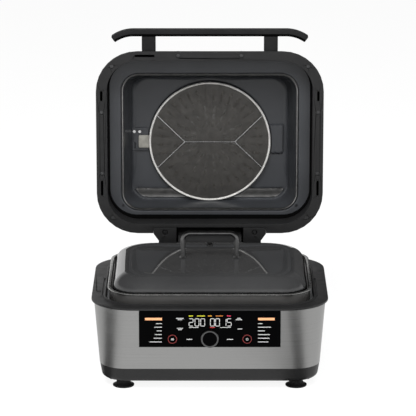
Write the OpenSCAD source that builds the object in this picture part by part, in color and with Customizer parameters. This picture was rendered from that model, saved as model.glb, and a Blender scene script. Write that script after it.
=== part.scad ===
// Countertop air fryer grill: heated base with a lift-out pot and glass lid,
// and a deep hinged lid that holds the fan, the upper element and a splash filter.
// Sizes in millimetres. The front faces -Y and the table is z = 0.

/* [Pot] */
// Width of the pot across its rim
pot_w = 356; // [320:1:400]
// Depth of the pot across its rim, front to back
pot_d = 288; // [270:1:330]
// Corner radius of the pot's rim
pot_r = 54; // [46:1:64]
// Height of the pot's rim above the bezel
pot_rise = 18.5; // [14:0.5:24]
// Depth of the pot from its rim to the underside of its floor
pot_depth = 112; // [95:1:116]
// Wall thickness of the pot
pot_wall = 2.5; // [2:0.1:3.5]
// How far the pot's rim lip stands out past its skirt
pot_lip = 3; // [2:0.5:4]
// Thickness of the pot's rim lip
pot_lip_h = 3; // [2:0.5:4]
// Width of the ledge inside the rim that carries the glass lid
ledge_w = 12; // [10:0.5:15]
// Depth of that ledge below the rim
ledge_drop = 6.5; // [4:0.5:9]
// How far the pot's side walls lean in from ledge to floor
pot_draft = 8; // [3:0.5:12]
// Radius of the edge round the pot's floor
pot_edge = 16; // [8:1:24]

/* [Glass lid] */
// Gap between the glass lid's rim band and the pot's rim
glass_gap = 3; // [1:0.5:5]
// Width of the rim band
band_w = 7; // [5:0.5:10]
// Height of the rim band
band_h = 6; // [5:0.5:8]
// Thickness of the glass
glass_t = 4; // [3:0.5:5]
// Rise of the glass dome above the rim band
dome_h = 27; // [18:1:32]
// Width of the dome's rounded shoulder
dome_shoulder = 34; // [20:1:45]
// Width of the loop handle across its legs
loop_w = 103; // [80:1:130]
// Height of the loop handle above the glass
loop_h = 48; // [38:1:54]
// Radius of the handle's rod
loop_rod = 4.2; // [3:0.1:6]
// Radius of the handle's bends, at the middle of the rod
loop_bend = 13; // [8:1:20]
// Radius of the studs that hold the handle
stud_r = 2.5; // [2:0.1:3.5]
// Distance of the steam vent inwards from the dome's shoulder
vent_in = 13.5; // [10:0.5:30]

/* [Base] */
// Gap between the pot's lip and the opening in the bezel
pot_gap = 2.5; // [1.5:0.5:4]
// Width of the bezel at the sides of the opening
bezel_side = 25.5; // [22:0.5:34]
// Width of the bezel in front of and behind the opening
bezel_end = 23; // [22:0.5:34]
// Corner radius of the bezel and the lid
body_r = 75; // [66:1:85]
// Thickness of the bezel
bezel_h = 4; // [3:0.5:6]
// How far the bezel overhangs the steel at the sides
over_side = 4.5; // [2:0.5:6]
// How far the bezel overhangs the steel at front and back
over_end = 3; // [2:0.5:6]
// Height of the steel wrap
wrap_h = 105; // [98:1:120]
// How far the steel sides lean in towards the bottom
wrap_taper = 10; // [4:0.5:14]
// Corner radius at the bottom of the steel
wrap_low_r = 48; // [40:1:60]
// Thickness of the steel sheet
sheet_t = 1; // [0.8:0.1:1.5]
// Height of the bottom tray
tray_h = 25; // [20:1:32]
// How far the tray leans in towards the bottom
tray_draft = 4.5; // [2:0.5:8]
// Radius of the tray's bottom edge
tray_edge = 7; // [4:0.5:10]
// Wall of the plastic mouldings
wall = 2.5; // [2:0.1:3.5]
// Height of the feet
foot_h = 15; // [10:1:20]
// Radius of a foot's flange
foot_r = 18.6; // [14:0.2:22]
// Distance of the feet inwards from the tray's flat bottom, sideways
foot_in_x = 30; // [22:1:60]
// Distance of the feet inwards from the tray's flat bottom, front to back
foot_in_y = 21; // [18:1:50]
// Radius of a foot's stud
foot_stud = 4; // [3:0.5:6]

/* [Heating] */
// Gap between the pot's wall and the heating well
well_gap = 6; // [4:0.5:10]
// Thickness of the well's sheet
well_t = 1.2; // [0.8:0.1:2]
// Depth of the well's rim below the top of the bezel
well_drop = 10; // [8:0.5:14]
// Clear height between the well's floor and the pot
well_room = 18; // [15:0.5:20]
// Radius of the heating rods
rod_r = 3.4; // [2.5:0.1:4]
// Distance of the lower element's legs from the middle
coil_x = 96; // [60:1:120]
// Bend radius of the lower element
coil_bend = 42; // [25:1:60]

/* [Control panel] */
// Width of the control panel
panel_w = 243; // [220:1:258]
// Height of the control panel
panel_h = 65.5; // [62:0.5:76]
// Thickness of the control panel
panel_t = 2.5; // [2:0.1:4]
// How far the panel stands proud of the steel
panel_proud = 1.5; // [0.5:0.1:3]
// Gap round the panel
panel_gap = 0.4; // [0.2:0.1:1]
// Distance of the dial's middle below the top of the panel
dial_drop = 49.5; // [46:0.5:50]
// Outer radius of the dial
dial_r = 15.4; // [12:0.1:16]
// Radial width of the ring round the dial
dial_ring_w = 2.8; // [1.5:0.1:4]
// How far the dial stands out from the panel
dial_h = 6.5; // [5:0.5:12]
// Radius of the dial's shaft
dial_shaft = 3; // [2:0.1:4]
// Distance of the two keys from the middle
key_x = 64.3; // [50:0.1:80]
// Distance of the keys' middle below the top of the panel
key_drop = 51.1; // [46:0.1:53]
// Radius of a key's cap
key_r = 6.7; // [5:0.1:8]
// Radial width of the ring round a key
key_ring = 0.9; // [0.6:0.1:1.5]
// Travel of a key
key_travel = 0.8; // [0.5:0.1:1.2]
// Width of the display
display_w = 84; // [60:1:110]
// Height of the display
display_h = 22; // [16:1:26]
// Distance of the display's middle below the top of the panel
display_drop = 20; // [15:0.5:22]
// Depth from the panel's face to the control board
board_drop = 15.9; // [14:0.1:18]
// Thickness of the circuit boards
board_t = 1.6; // [1:0.1:2.4]

/* [Hinge] */
// Distance of the hinge axis behind the bezel's edge
hinge_back = 22; // [20:0.5:28]
// Height of the hinge axis above the lid's rim plane
hinge_up = 20; // [18:0.5:24]
// Radius of the hinge pin
pin_r = 4; // [3:0.1:5]
// Half the width of the base's hinge block
block_x = 58; // [40:1:70]
// Radius of the hinge block round the pin
block_r = 18; // [12:0.5:18]
// Gap between the hinge block and each lid arm
arm_gap = 3; // [1:0.5:5]
// Width of a lid arm at the rim
arm_w = 41.5; // [30:0.5:45]
// How much narrower a lid arm is round the pin
arm_taper = 9; // [4:0.5:14]
// Radius of a lid arm round the pin
arm_r = 16; // [12:0.5:17]
// Height of the hood behind the hinge above the pin
hood_h = 25; // [20:1:26]
// Thickness of the hood
hood_t = 3; // [2:0.5:5]
// Angle at which the lid stands open
lid_open = 90; // [0:1:90]

/* [Lid] */
// Gap between the closed lid's rim and the bezel
lid_gap = 1; // [0.5:0.1:2]
// Height of the lid from its rim to its top
lid_h = 172; // [166:1:200]
// Height of the rim moulding
rim_h = 26; // [24:1:28]
// How far the rim's outer wall leans in towards its back
rim_lean = 6; // [5:0.5:8]
// Thickness of the rim's face
rim_face = 3; // [2:0.5:4]
// Width of the rim's face at the sides
rim_side = 20; // [18:0.5:22]
// Width of the rim's face at front and back
rim_end = 18; // [17:0.5:20]
// Depth of the rim's inner skirt
skirt_h = 42; // [38:1:46]
// How far the lid's walls lean in before the crown
shell_draft = 17; // [14:0.5:20]
// Height of the lid's rounded crown
crown_h = 70; // [40:1:90]
// Width of the lid's rounded crown
crown_w = 64; // [40:1:70]
// Width of the liner's flange at the sides of its mouth
flange_side = 27.5; // [26:0.5:34]
// Width of the liner's flange in front of its mouth
flange_front = 35; // [32:0.5:38]
// Width of the liner's flange behind its mouth
flange_rear = 18; // [16:0.5:21]
// Corner radius of the liner's mouth
mouth_r = 30; // [24:1:40]
// Depth of the liner's back plate behind the rim
liner_depth = 106; // [104:1:114]
// How far the liner's side walls lean in
liner_draft = 12; // [4:0.5:16]
// Depth of the round recess for fan and element
recess_h = 28; // [26:1:34]
// Width of the lid handle's bar, tip to tip
bar_w = 355; // [300:1:380]
// Thickness of the bar, front to back
bar_t = 12.5; // [11:0.5:18]
// Height of the bar
bar_h = 21; // [16:1:22]
// Finger gap between the bar and the lid
bar_gap = 25.5; // [18:0.5:35]
// Radius of the bar's curved ends
bar_bend = 62; // [40:1:90]
// Angle of the bar's curved ends
bar_angle = 36; // [20:1:50]
// Distance of the handle's posts from the middle
post_x = 110; // [80:1:125]
// Width of a post
post_w = 25; // [18:1:32]

/* [Fan and filter] */
// Gap between the splash filter and the liner's front wall
filter_front = 12; // [10:0.5:20]
// Gap between the splash filter and the liner's rear wall
filter_rear = 1; // [0.8:0.1:4]
// Least room beside the splash filter, for its clip and its rest
filter_side = 34; // [30:0.5:40]
// Thickness of the filter's ring
filter_h = 6; // [4:0.5:8]
// Width of the filter's ring
filter_ring_w = 4; // [3:0.5:6]
// Depth of the filter's face behind the rim
filter_depth = 95; // [95:0.5:97]
// Pitch of the filter's mesh
mesh_pitch = 11; // [11:0.5:20]
// Width of the mesh's webs
mesh_web = 2; // [1:0.1:4]
// Gap between the fan's tips and the middle of the upper element's rod
fan_gap = 19; // [10:0.5:30]
// Number of fan blades
fan_blades = 10; // [6:1:14]
// Height of the fan's blades
blade_h = 13; // [8:0.5:14]
// Radius of the fan's shaft
shaft_r = 3; // [2:0.1:4]
// Distance of the upper element's ring inside the recess wall
coil_in = 21; // [15:0.5:26]
// Radius of the motor
motor_r = 31; // [24:1:40]
// Height of the motor
motor_h = 22; // [16:1:24]

/* [Fits] */
// Running clearance of pins and shafts, on the radius
run_fit = 0.05; // [0.02:0.01:0.1]
// Clearance between pieces that slide or lift past each other
slide_gap = 0.3; // [0.2:0.05:0.6]
// Gap that keeps two seated mouldings apart
seat_gap = 0.2; // [0.1:0.05:0.4]
// Radius of a screw's shank
screw_r = 1.8; // [1.2:0.1:2.5]
// Radius of a screw's head
screw_head = 3.4; // [2.6:0.1:4]
// Height of a screw's head
screw_head_h = 2.4; // [1.5:0.1:3]

/* [Hidden] */
$fn = 64;
corner_steps = 8;
cut = 1;

// Levels of the base
tray_z = foot_h + tray_h;
wrap_z = tray_z + wrap_h;
bezel_z = wrap_z + bezel_h;
rim_z = bezel_z + pot_rise;
ledge_z = rim_z - ledge_drop;
well_z = bezel_z - well_drop;
pot_floor_z = rim_z - pot_depth;
well_floor_z = pot_floor_z - well_room;

// Plan sizes of the base
open_w = pot_w + 2 * pot_gap;
open_d = pot_d + 2 * pot_gap;
open_r = pot_r + pot_gap;
body_w = open_w + 2 * bezel_side;
body_d = open_d + 2 * bezel_end;
wrap_w = body_w - 2 * over_side;
wrap_d = body_d - 2 * over_end;
wrap_r = body_r - over_end;
wrap_low_w = wrap_w - 2 * wrap_taper;
wall_y = wrap_d / 2;
foot_x = wrap_low_w / 2 - tray_draft - tray_edge - foot_in_x;
foot_y = wrap_d / 2 - tray_draft - tray_edge - foot_in_y;
seam_y = body_d / 2 - body_r + 10;

// Plan sizes of the pot, inwards from its rim
skirt_w = pot_w - 2 * pot_lip;
skirt_d = pot_d - 2 * pot_lip;
skirt_r = pot_r - pot_lip;
step_in = pot_wall + ledge_w;
pot_in_w = skirt_w - 2 * step_in;
pot_in_d = skirt_d - 2 * step_in;
pot_in_r = skirt_r - step_in;
well_in_w = pot_in_w + 2 * (pot_wall + well_gap);
well_in_d = pot_in_d + 2 * (pot_wall + well_gap);
well_in_r = pot_in_r + pot_wall + well_gap;
collar_t = 3;

// Glass lid
band_out_w = skirt_w - 2 * (pot_wall + glass_gap);
band_out_d = skirt_d - 2 * (pot_wall + glass_gap);
band_out_r = skirt_r - pot_wall - glass_gap;
glass_w = band_out_w - 4;
glass_d = band_out_d - 4;
glass_r = band_out_r - 2;
vent_back = glass_d / 2 - dome_shoulder - vent_in;
vent_r = 4;
band_z = ledge_z + seat_gap;
glass_z = band_z + band_h / 2;
dome_z = band_z + band_h + dome_h;
leg_x = loop_w / 2 - loop_rod;
ferrule_h = 3;
ferrule_r = stud_r + 4;
loop_z = dome_z + loop_h;

// Control panel, measured from its face
face_y = wall_y + panel_proud;
panel_mid_z = wrap_z - panel_h / 2;
dial_z = wrap_z - dial_drop;
key_z = wrap_z - key_drop;
display_z = wrap_z - display_drop;
switch_h = 5;
encoder_h = 7;
bush_r = dial_shaft + 1.6;
cap_r = dial_r - dial_ring_w;
ring_r = key_r + slide_gap;

// Hinge and lid, with the lid's own depth measured up from its rim
hinge_y = body_d / 2 + hinge_back;
lid_z = bezel_z + lid_gap;
hinge_z = lid_z + hinge_up;
arm_x = block_x + arm_gap;
arm_out_x = arm_x + arm_w;
arm_low_x = arm_out_x - arm_taper;
pin_end_x = arm_low_x - 4;
hood_y = hinge_y + arm_r + 1.5;
rim_in_w = body_w - 2 * rim_side;
rim_in_d = body_d - 2 * rim_end;
rim_in_r = body_r - (rim_side + rim_end) / 2;
notch_y = body_d / 2 - rim_end + 7;
side_mid_x = body_w / 2 - rim_side / 2;
end_mid_y = body_d / 2 - rim_end / 2;
corner_x = body_w / 2 - body_r;
corner_y = body_d / 2 - body_r;
corner_mid = (body_r + rim_in_r) / 2;
boss_r = screw_head + 2.4;
boss_h = 0.65 * rim_h;
mouth_w = rim_in_w - 2 * flange_side;
mouth_d = rim_in_d - flange_front - flange_rear;
mouth_back = (flange_front - flange_rear) / 2;
pan_w = mouth_w - 2 * liner_draft;
pan_d = mouth_d - liner_draft;
pan_back = mouth_back + liner_draft / 2;
mouth_rear = mouth_back + mouth_d / 2;
filter_r = min((pan_d - filter_front - filter_rear) / 2, pan_w / 2 - filter_side);
fan_back = pan_back + (filter_front - filter_rear) / 2;
recess_r = filter_r - 0.5;
top_coil_r = recess_r - coil_in;
fan_r = top_coil_r - fan_gap;
side_room = pan_w / 2 - filter_r;
recess_z = liner_depth + recess_h;
rest_z = filter_depth + filter_h + slide_gap;
guard_drop = 1;
coil_drop = 11;
fan_drop = 5;
guard_z = liner_depth + guard_drop;
coil_z = guard_z + coil_drop;
fan_z = guard_z + fan_drop;
hub_z = fan_z + blade_h;
bracket_z = recess_z + well_t;
bracket_h = 3.2;
motor_z = bracket_z + bracket_h;
motor_top = motor_z + motor_h;
cooler_h = 5;
cooler_z = motor_top + 1.2;
shaft_top = cooler_z + cooler_h;
bar_y = body_d / 2 + bar_gap + bar_t / 2;
bar_z = rim_h / 2;
bar_straight = bar_w / 2 - (bar_bend + bar_t / 2) * sin(bar_angle);
bar_soft = 0.3 * bar_t;

// The middle of the whole box is the origin
front_reach = face_y + slide_gap + dial_h;
rear_reach = hinge_y - hinge_up + lid_h;
shift_y = (front_reach - rear_reach) / 2;

feet = [["foot_front_left", -1, -1], ["foot_front_right", 1, -1],
        ["foot_rear_left", -1, 1], ["foot_rear_right", 1, 1]];

// Shared shapes

// Rounded rectangle, centred
module rounded(w, d, r) {
    square([w - 2 * r, d], center = true);
    square([w, d - 2 * r], center = true);
    for (sx = [-1, 1], sy = [-1, 1])
        translate([sx * (w / 2 - r), sy * (d / 2 - r)]) circle(r);
}

module plate(w, d, r, h) { linear_extrude(h) rounded(w, d, r); }

// Upright frame with a rounded outline and an even wall
module frame(w, d, r, h, t) {
    difference() {
        plate(w, d, r, h);
        translate([0, 0, -cut]) plate(w - 2 * t, d - 2 * t, r - t, h + 2 * cut);
    }
}

// Outline of one row of a loft: [width, depth, corner radius, height, middle y]
function ring(row) = [for (q = [0:3], i = [0:corner_steps])
    let (a = 90 * (q + i / corner_steps), sx = q == 0 || q == 3 ? 1 : -1, sy = q < 2 ? 1 : -1)
    [sx * (row[0] / 2 - row[2]) + row[2] * cos(a),
        row[4] + sy * (row[1] / 2 - row[2]) + row[2] * sin(a), row[3]]];

// Closed skin through rings of points
module skin(rings) {
    n = len(rings[0]);
    last = len(rings) - 1;
    sides = [for (j = [0:last - 1], i = [0:n - 1])
        let (k = (i + 1) % n) [(j + 1) * n + i, (j + 1) * n + k, j * n + k, j * n + i]];
    first_end = [for (i = [0:n - 1]) i];
    last_end = [for (i = [n - 1:-1:0]) last * n + i];
    polyhedron([for (r = rings) each r], concat(sides, [first_end, last_end]));
}

// Loft through rows, from the lowest to the highest
module loft(rows) { skin([for (row = rows) ring(row)]); }

// Slot with round ends, along X
module slot(length, width, h) {
    linear_extrude(h) {
        square([length - width, width], center = true);
        for (s = [-1, 1]) translate([s * (length - width) / 2, 0]) circle(width / 2);
    }
}

// Rod between two points
module rod(a, b, r) {
    v = b - a;
    translate(a) rotate([0, acos(v[2] / norm(v)), atan2(v[1], v[0])]) cylinder(r = r, h = norm(v));
}

// Ring of round section
module torus(ring_radius, section_radius) {
    rotate_extrude() translate([ring_radius, 0]) circle(section_radius);
}

// Outline in the Y-Z plane, extruded along X from x0
module side_profile(x0, width) {
    translate([x0, 0, 0]) rotate([90, 0, 90]) linear_extrude(width) children();
}

module screw(length) {
    cylinder(r = screw_head, h = screw_head_h);
    cylinder(r = screw_r, h = length);
}

module in_base() { translate([0, shift_y, 0]) children(); }

// Panel places: x, height, and distance out from the panel's face along +Z
module on_panel(x, z) { in_base() translate([x, -face_y, z]) rotate([90, 0, 0]) children(); }

// Lid pieces are drawn closed, with z up from the rim, and then swung open
module in_lid() {
    in_base() translate([0, hinge_y, hinge_z]) rotate([-lid_open, 0, 0])
        translate([0, -hinge_y, -hinge_up]) children();
}

module in_fan() { in_lid() translate([0, fan_back, 0]) children(); }

// Base

// Rows of the tray's skin, moved in by t
function tray_row(h, inset, t) =
    let (lean = tray_draft * (1 - h / tray_h) + inset + t)
    [wrap_low_w - 2 * lean, wrap_d - 2 * lean, wrap_low_r - lean, foot_h + h, 0];
function tray_rows(t, top) = concat(
    [for (a = [0:30:90]) tray_row(tray_edge * (1 - cos(a)) + t, tray_edge * (1 - sin(a)), t)],
    [tray_row(tray_h + top, 0, t)]);

// Posts under the bezel, just outside the corners of the well's flange
well_flange_w = open_w + 2 * collar_t;
well_flange_d = open_d + 2 * collar_t;
well_flange_r = open_r + collar_t;
post_r = 4;
post_gap = 1.5;
tray_screw_l = 16;
post_reach = (well_flange_r + post_r + post_gap) * sin(45) - well_flange_r;
post_places = [for (sx = [-1, 1], sy = [-1, 1])
    [sx * (well_flange_w / 2 + post_reach), sy * (well_flange_d / 2 + post_reach), 0]];

module bottom_tray() {
    vent_count = 9;
    vent_pitch = 18;
    vent_l = 46;
    vent_w = 6;
    vent_y = 0.21 * wrap_d;
    color("#343232") in_base() difference() {
        loft(tray_rows(0, 0));
        loft(tray_rows(wall, cut));
        for (f = feet) translate([f[1] * foot_x, f[2] * foot_y, foot_h - cut])
            cylinder(r = foot_stud + seat_gap, h = wall + 2 * cut);
        for (p = post_places) translate(p + [0, 0, foot_h - cut])
            cylinder(r = screw_r + seat_gap, h = wall + 2 * cut);
        for (i = [0:vent_count - 1], s = [-1, 1])
            translate([(i - (vent_count - 1) / 2) * vent_pitch, s * vent_y, foot_h - cut])
                rotate([0, 0, 90]) slot(vent_l, vent_w, wall + 2 * cut);
    }
}

// Tapered block t inside the steel's skin, reaching past both ends of the steel
function casing_row(z, t) =
    let (up = (z - tray_z) / wrap_h)
    [wrap_low_w + (wrap_w - wrap_low_w) * up - 2 * t, wrap_d - 2 * t,
        wrap_low_r + (wrap_r - wrap_low_r) * up - t, z, 0];

module casing(t) { loft([casing_row(tray_z - cut, t), casing_row(wrap_z + cut, t)]); }

// Block in front of the seam or behind it, as high as the steel
module seam_block(side) {
    translate([-body_w, side > 0 ? seam_y : seam_y - 2 * body_d, tray_z])
        cube([2 * body_w, 2 * body_d, wrap_h]);
}

module steel_wrap() {
    window_w = panel_w + 2 * panel_gap;
    color("#a8a8a6") in_base() difference() {
        intersection() {
            casing(0);
            seam_block(-1);
        }
        casing(sheet_t);
        translate([-window_w / 2, -wall_y - cut, wrap_z - panel_h - panel_gap])
            cube([window_w, sheet_t + 2 * cut, panel_h + panel_gap + cut]);
    }
}

inlet_z = 70;
inlet_r = 9;
power_w = 150;
power_h = 60;
power_z = tray_z + power_h / 2 + 8;
power_y = (well_in_d / 2 + well_t + wall_y) / 2;

module rear_panel() {
    louvre_count = 8;
    louvre_pitch = 9;
    louvre_w = 70;
    louvre_x = 0.27 * body_w;
    louvre_top = wrap_z - 20;
    peg_r = 3.5;
    peg_in = 8;
    color("#2a2a2b") in_base() difference() {
        union() {
            difference() {
                intersection() {
                    casing(0);
                    seam_block(1);
                }
                casing(wall);
            }
            for (sx = [-1, 1], sz = [-1, 1])
                translate([sx * (power_w / 2 - peg_in), power_y, power_z + sz * (power_h / 2 - peg_in)])
                    rotate([-90, 0, 0]) cylinder(r = peg_r, h = wall_y - wall / 2 - power_y);
        }
        for (i = [0:louvre_count - 1], s = [-1, 1])
            translate([s * louvre_x, wall_y - wall - cut, louvre_top - i * louvre_pitch])
                rotate([-90, 0, 0]) slot(louvre_w, 4, wall + 2 * cut);
        translate([0, wall_y - wall - cut, inlet_z])
            rotate([-90, 0, 0]) cylinder(r = inlet_r, h = wall + 2 * cut);
    }
}

switch_x = -(body_w / 2 - 12);
switch_y = -62;
switch_r = 3.2;
switch_depth = 2;

module top_bezel() {
    groove_l = 116;
    groove_w = 3;
    groove_y = -36;
    groove_x = open_w / 2 + 6;
    floor_z = foot_h + wall;
    color("#333334") in_base() difference() {
        union() {
            translate([0, 0, wrap_z]) plate(body_w, body_d, body_r, bezel_h);
            translate([0, 0, well_z])
                frame(well_flange_w, well_flange_d, well_flange_r, wrap_z - well_z, collar_t);
            for (p = post_places) translate(p + [0, 0, floor_z])
                cylinder(r = post_r, h = wrap_z - floor_z);
        }
        translate([0, 0, well_z - cut]) plate(open_w, open_d, open_r, bezel_z);
        for (s = [-1, 1]) translate([s * groove_x, groove_y, bezel_z - bezel_h / 2])
            rotate([0, 0, 90]) slot(groove_l, groove_w, bezel_h);
        translate([switch_x, switch_y, bezel_z - switch_depth])
            cylinder(r = switch_r + seat_gap, h = bezel_h);
        for (p = post_places) translate(p + [0, 0, floor_z - cut]) cylinder(r = screw_r, h = tray_screw_l);
    }
}

module lid_switch() {
    color("#55565a") in_base() translate([switch_x, switch_y, bezel_z - switch_depth]) {
        cylinder(r = switch_r, h = 0.7 * switch_depth);
        cylinder(r = switch_r / 2, h = 0.9 * switch_depth);
    }
}

module heating_well() {
    h = well_z - well_floor_z;
    color("#8d8f92") in_base() difference() {
        union() {
            translate([0, 0, well_floor_z])
                plate(well_in_w + 2 * well_t, well_in_d + 2 * well_t, well_in_r + well_t, h);
            translate([0, 0, well_z - well_t]) plate(well_flange_w, well_flange_d, well_flange_r, well_t);
        }
        translate([0, 0, well_floor_z + well_t]) plate(well_in_w, well_in_d, well_in_r, h);
        for (s = [-1, 1]) translate([s * coil_x, well_in_d / 2 - cut, coil_low_z])
            rotate([-90, 0, 0]) cylinder(r = rod_r + seat_gap, h = well_t + 2 * cut);
    }
}

coil_clear = 6;
coil_tail = 9;
coil_low_z = well_floor_z + well_t + coil_clear + rod_r;
coil_end_y = well_in_d / 2 + well_t + coil_tail;
coil_front_y = -well_in_d / 2 + coil_bend;

module base_element() {
    color("#6c5f57") in_base() translate([0, 0, coil_low_z]) {
        for (s = [-1, 1]) {
            translate([s * coil_x, coil_front_y + coil_bend, 0])
                rotate([-90, 0, 0]) cylinder(r = rod_r, h = coil_end_y - coil_front_y - coil_bend);
            translate([s * (coil_x - coil_bend), coil_front_y + coil_bend, 0])
                rotate([0, 0, s > 0 ? -90 : 180])
                    rotate_extrude(angle = 90) translate([coil_bend, 0]) circle(rod_r);
        }
        translate([-(coil_x - coil_bend), coil_front_y, 0])
            rotate([0, 90, 0]) cylinder(r = rod_r, h = 2 * (coil_x - coil_bend));
    }
}

module element_supports() {
    strip_w = 8;
    shares = [0.36, 0.67];
    reach = coil_x + 12;
    z0 = well_floor_z + well_t;
    color("#9a9c9f") in_base() difference() {
        for (k = shares)
            translate([-reach, coil_front_y + k * (well_in_d / 2 - coil_front_y) - strip_w / 2, z0])
                cube([2 * reach, strip_w, coil_low_z - z0]);
        for (s = [-1, 1]) translate([s * coil_x, coil_front_y, coil_low_z])
            rotate([-90, 0, 0]) cylinder(r = rod_r, h = coil_end_y - coil_front_y);
    }
}

module thermostat() {
    body_h = 8;
    body_r = 9;
    cap_h = 2;
    color("#d8d2c4") in_base() translate([0, 0.26 * well_in_d, well_floor_z - body_h]) {
        cylinder(r = body_r, h = body_h);
        translate([0, 0, -cap_h]) cylinder(r = body_r - 4, h = cap_h + 1);
    }
}

module panel_outline() { rounded(panel_w, panel_h, 3); }

standoff_x = panel_w / 2 - 16;
standoff_z = panel_h / 2 - 9;
standoff_r = 3;

module control_panel() {
    color("#0d0d0e") on_panel(0, panel_mid_z) difference() {
        union() {
            translate([0, 0, -panel_t]) linear_extrude(panel_t) panel_outline();
            for (sx = [-1, 1], sz = [-1, 1]) translate([sx * standoff_x, sz * standoff_z, -board_drop])
                cylinder(r = standoff_r, h = board_drop - panel_t / 2);
        }
        translate([0, dial_z - panel_mid_z, -panel_t - cut])
            cylinder(r = bush_r + slide_gap, h = panel_t + 2 * cut);
        for (s = [-1, 1]) translate([s * key_x, key_z - panel_mid_z, -panel_t - cut])
            cylinder(r = ring_r + key_ring, h = panel_t + 2 * cut);
    }
}

module key_rings() {
    proud = 0.3;
    color("#b03a36") for (s = [-1, 1]) on_panel(s * key_x, key_z)
        translate([0, 0, -panel_t]) difference() {
            cylinder(r = ring_r + key_ring, h = panel_t + proud);
            translate([0, 0, -cut]) cylinder(r = ring_r, h = panel_t + proud + 2 * cut);
        }
}

module display_module() {
    color("#151517") on_panel(0, display_z) translate([0, 0, -board_drop])
        plate(display_w, display_h, 2, board_drop - panel_t);
}

module control_board() {
    color("#1d4f35") on_panel(0, panel_mid_z) translate([0, 0, -board_drop - board_t])
        plate(panel_w - 20, panel_h - 8, 2, board_t);
}

module key_switches() {
    switch_w = 7;
    color("#2d2d30") for (s = [-1, 1]) on_panel(s * key_x, key_z)
        translate([0, 0, -board_drop]) plate(switch_w, switch_w, 1, switch_h);
}

module dial_encoder() {
    encoder_w = 14;
    color("#77797c") on_panel(0, dial_z) translate([0, 0, -board_drop]) difference() {
        union() {
            plate(encoder_w, encoder_w, 1.5, encoder_h);
            cylinder(r = bush_r, h = board_drop - slide_gap);
        }
        translate([0, 0, 2]) cylinder(r = dial_shaft + run_fit, h = board_drop);
    }
}

module dial_knob() {
    chamfer = 0.8;
    top = slide_gap + dial_h;
    shaft_end = 3 - board_drop;
    color("#111113") on_panel(0, dial_z) rotate_extrude() polygon([
        [0, shaft_end], [dial_shaft, shaft_end], [dial_shaft, slide_gap],
        [cap_r, slide_gap], [cap_r, top - chamfer], [cap_r - chamfer, top], [0, top]]);
}

module dial_ring() {
    chamfer = 0.8;
    top = slide_gap + dial_h - chamfer;
    color("#8a8b8c") on_panel(0, dial_z) rotate_extrude() polygon([
        [cap_r, slide_gap], [dial_r, slide_gap], [dial_r, top - chamfer], [dial_r - chamfer, top],
        [cap_r, top]]);
}

module key(x) {
    proud = 0.6;
    flange_t = 1.5;
    flange_z = -panel_t - slide_gap;
    stem_end = switch_h - board_drop + key_travel + 0.1;
    on_panel(x, key_z) rotate_extrude() polygon([
        [0, stem_end], [2.5, stem_end], [2.5, flange_z - flange_t], [key_r + 1.5, flange_z - flange_t],
        [key_r + 1.5, flange_z], [key_r, flange_z], [key_r, proud - 0.3], [key_r - 0.3, proud], [0, proud]]);
}

module start_button() { color("#141416") key(-key_x); }

module power_button() { color("#141416") key(key_x); }

module power_board() {
    t = board_t;
    relay_h = 6.5;
    color("#23543a") in_base() translate([0, power_y, power_z]) rotate([90, 0, 0]) {
        plate(power_w, power_h, 2, t);
        translate([-0.3 * power_w, 0.13 * power_h, t]) plate(0.23 * power_w, power_h / 2, 2, relay_h);
        translate([0.13 * power_w, -0.1 * power_h, t]) plate(0.17 * power_w, power_h / 3, 2, relay_h);
        translate([0.35 * power_w, 0.16 * power_h, t]) cylinder(r = relay_h, h = relay_h);
    }
}

module cord_inlet() {
    flange_t = 3;
    color("#1b1b1c") in_base() translate([0, wall_y - wall - 3, inlet_z]) rotate([-90, 0, 0])
        rotate_extrude() polygon([
            [4, 0], [inlet_r - seat_gap, 0], [inlet_r - seat_gap, wall + 3], [inlet_r + 4, wall + 3],
            [inlet_r + 3, wall + 3 + flange_t], [6, wall + 3 + flange_t + 4], [4, wall + 3 + flange_t + 4]]);
}

module foot(sx, sy) {
    neck_r = foot_r * 0.62;
    cup_r = foot_r * 0.72;
    brim = 2.6;
    edge = 0.8;
    barb_h = 5;
    barb_z = foot_h + wall;
    color("#1c1c1d") in_base() translate([sx * foot_x, sy * foot_y, 0]) difference() {
        rotate_extrude() polygon(concat(
            [[0, 0], [foot_r - edge, 0], [foot_r, edge], [foot_r, brim]],
            [for (a = [0:15:90]) [neck_r + (foot_r - neck_r) * (1 - sin(a)),
                brim + 0.6 * foot_h * (1 - cos(a))]],
            [[neck_r, foot_h], [foot_stud, foot_h], [foot_stud, barb_z], [foot_stud + 1.5, barb_z],
             [foot_stud - 1, barb_z + barb_h], [0, barb_z + barb_h]]));
        translate([0, 0, -cut]) cylinder(r1 = cup_r, r2 = cup_r * 0.6, h = brim + cut);
    }
}

module tray_screws() {
    color("#5a5b5d") in_base() for (p = post_places)
        translate(p + [0, 0, foot_h - screw_head_h]) screw(tray_screw_l);
}

// Hinge on the base

module hinge_block() {
    foot_z = wrap_z - 0.46 * wrap_h;
    back_y = body_d / 2;
    hood_z = hinge_z + hood_h;
    hood_low_z = hinge_z - 1.2 * block_r;
    color("#262627") in_base() difference() {
        union() {
            translate([-block_x, hinge_y, hinge_z]) rotate([0, 90, 0])
                cylinder(r = block_r, h = 2 * block_x);
            side_profile(-block_x, 2 * block_x) polygon([
                [wall_y, foot_z], [wall_y, wrap_z], [back_y, wrap_z], [back_y, bezel_z - 2],
                [back_y + 3, bezel_z], [hinge_y - 0.7 * block_r, hinge_z + 0.3 * block_r],
                [hood_y, hood_z], [hood_y + hood_t, hood_z],
                [hood_y + hood_t, hood_low_z], [wall_y + 14, foot_z]]);
            translate([-arm_low_x, hood_y, hood_low_z])
                cube([2 * arm_low_x, hood_t, hood_z - hood_low_z]);
        }
        translate([-block_x - cut, hinge_y, hinge_z]) rotate([0, 90, 0])
            cylinder(r = pin_r, h = 2 * (block_x + cut));
    }
}

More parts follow.
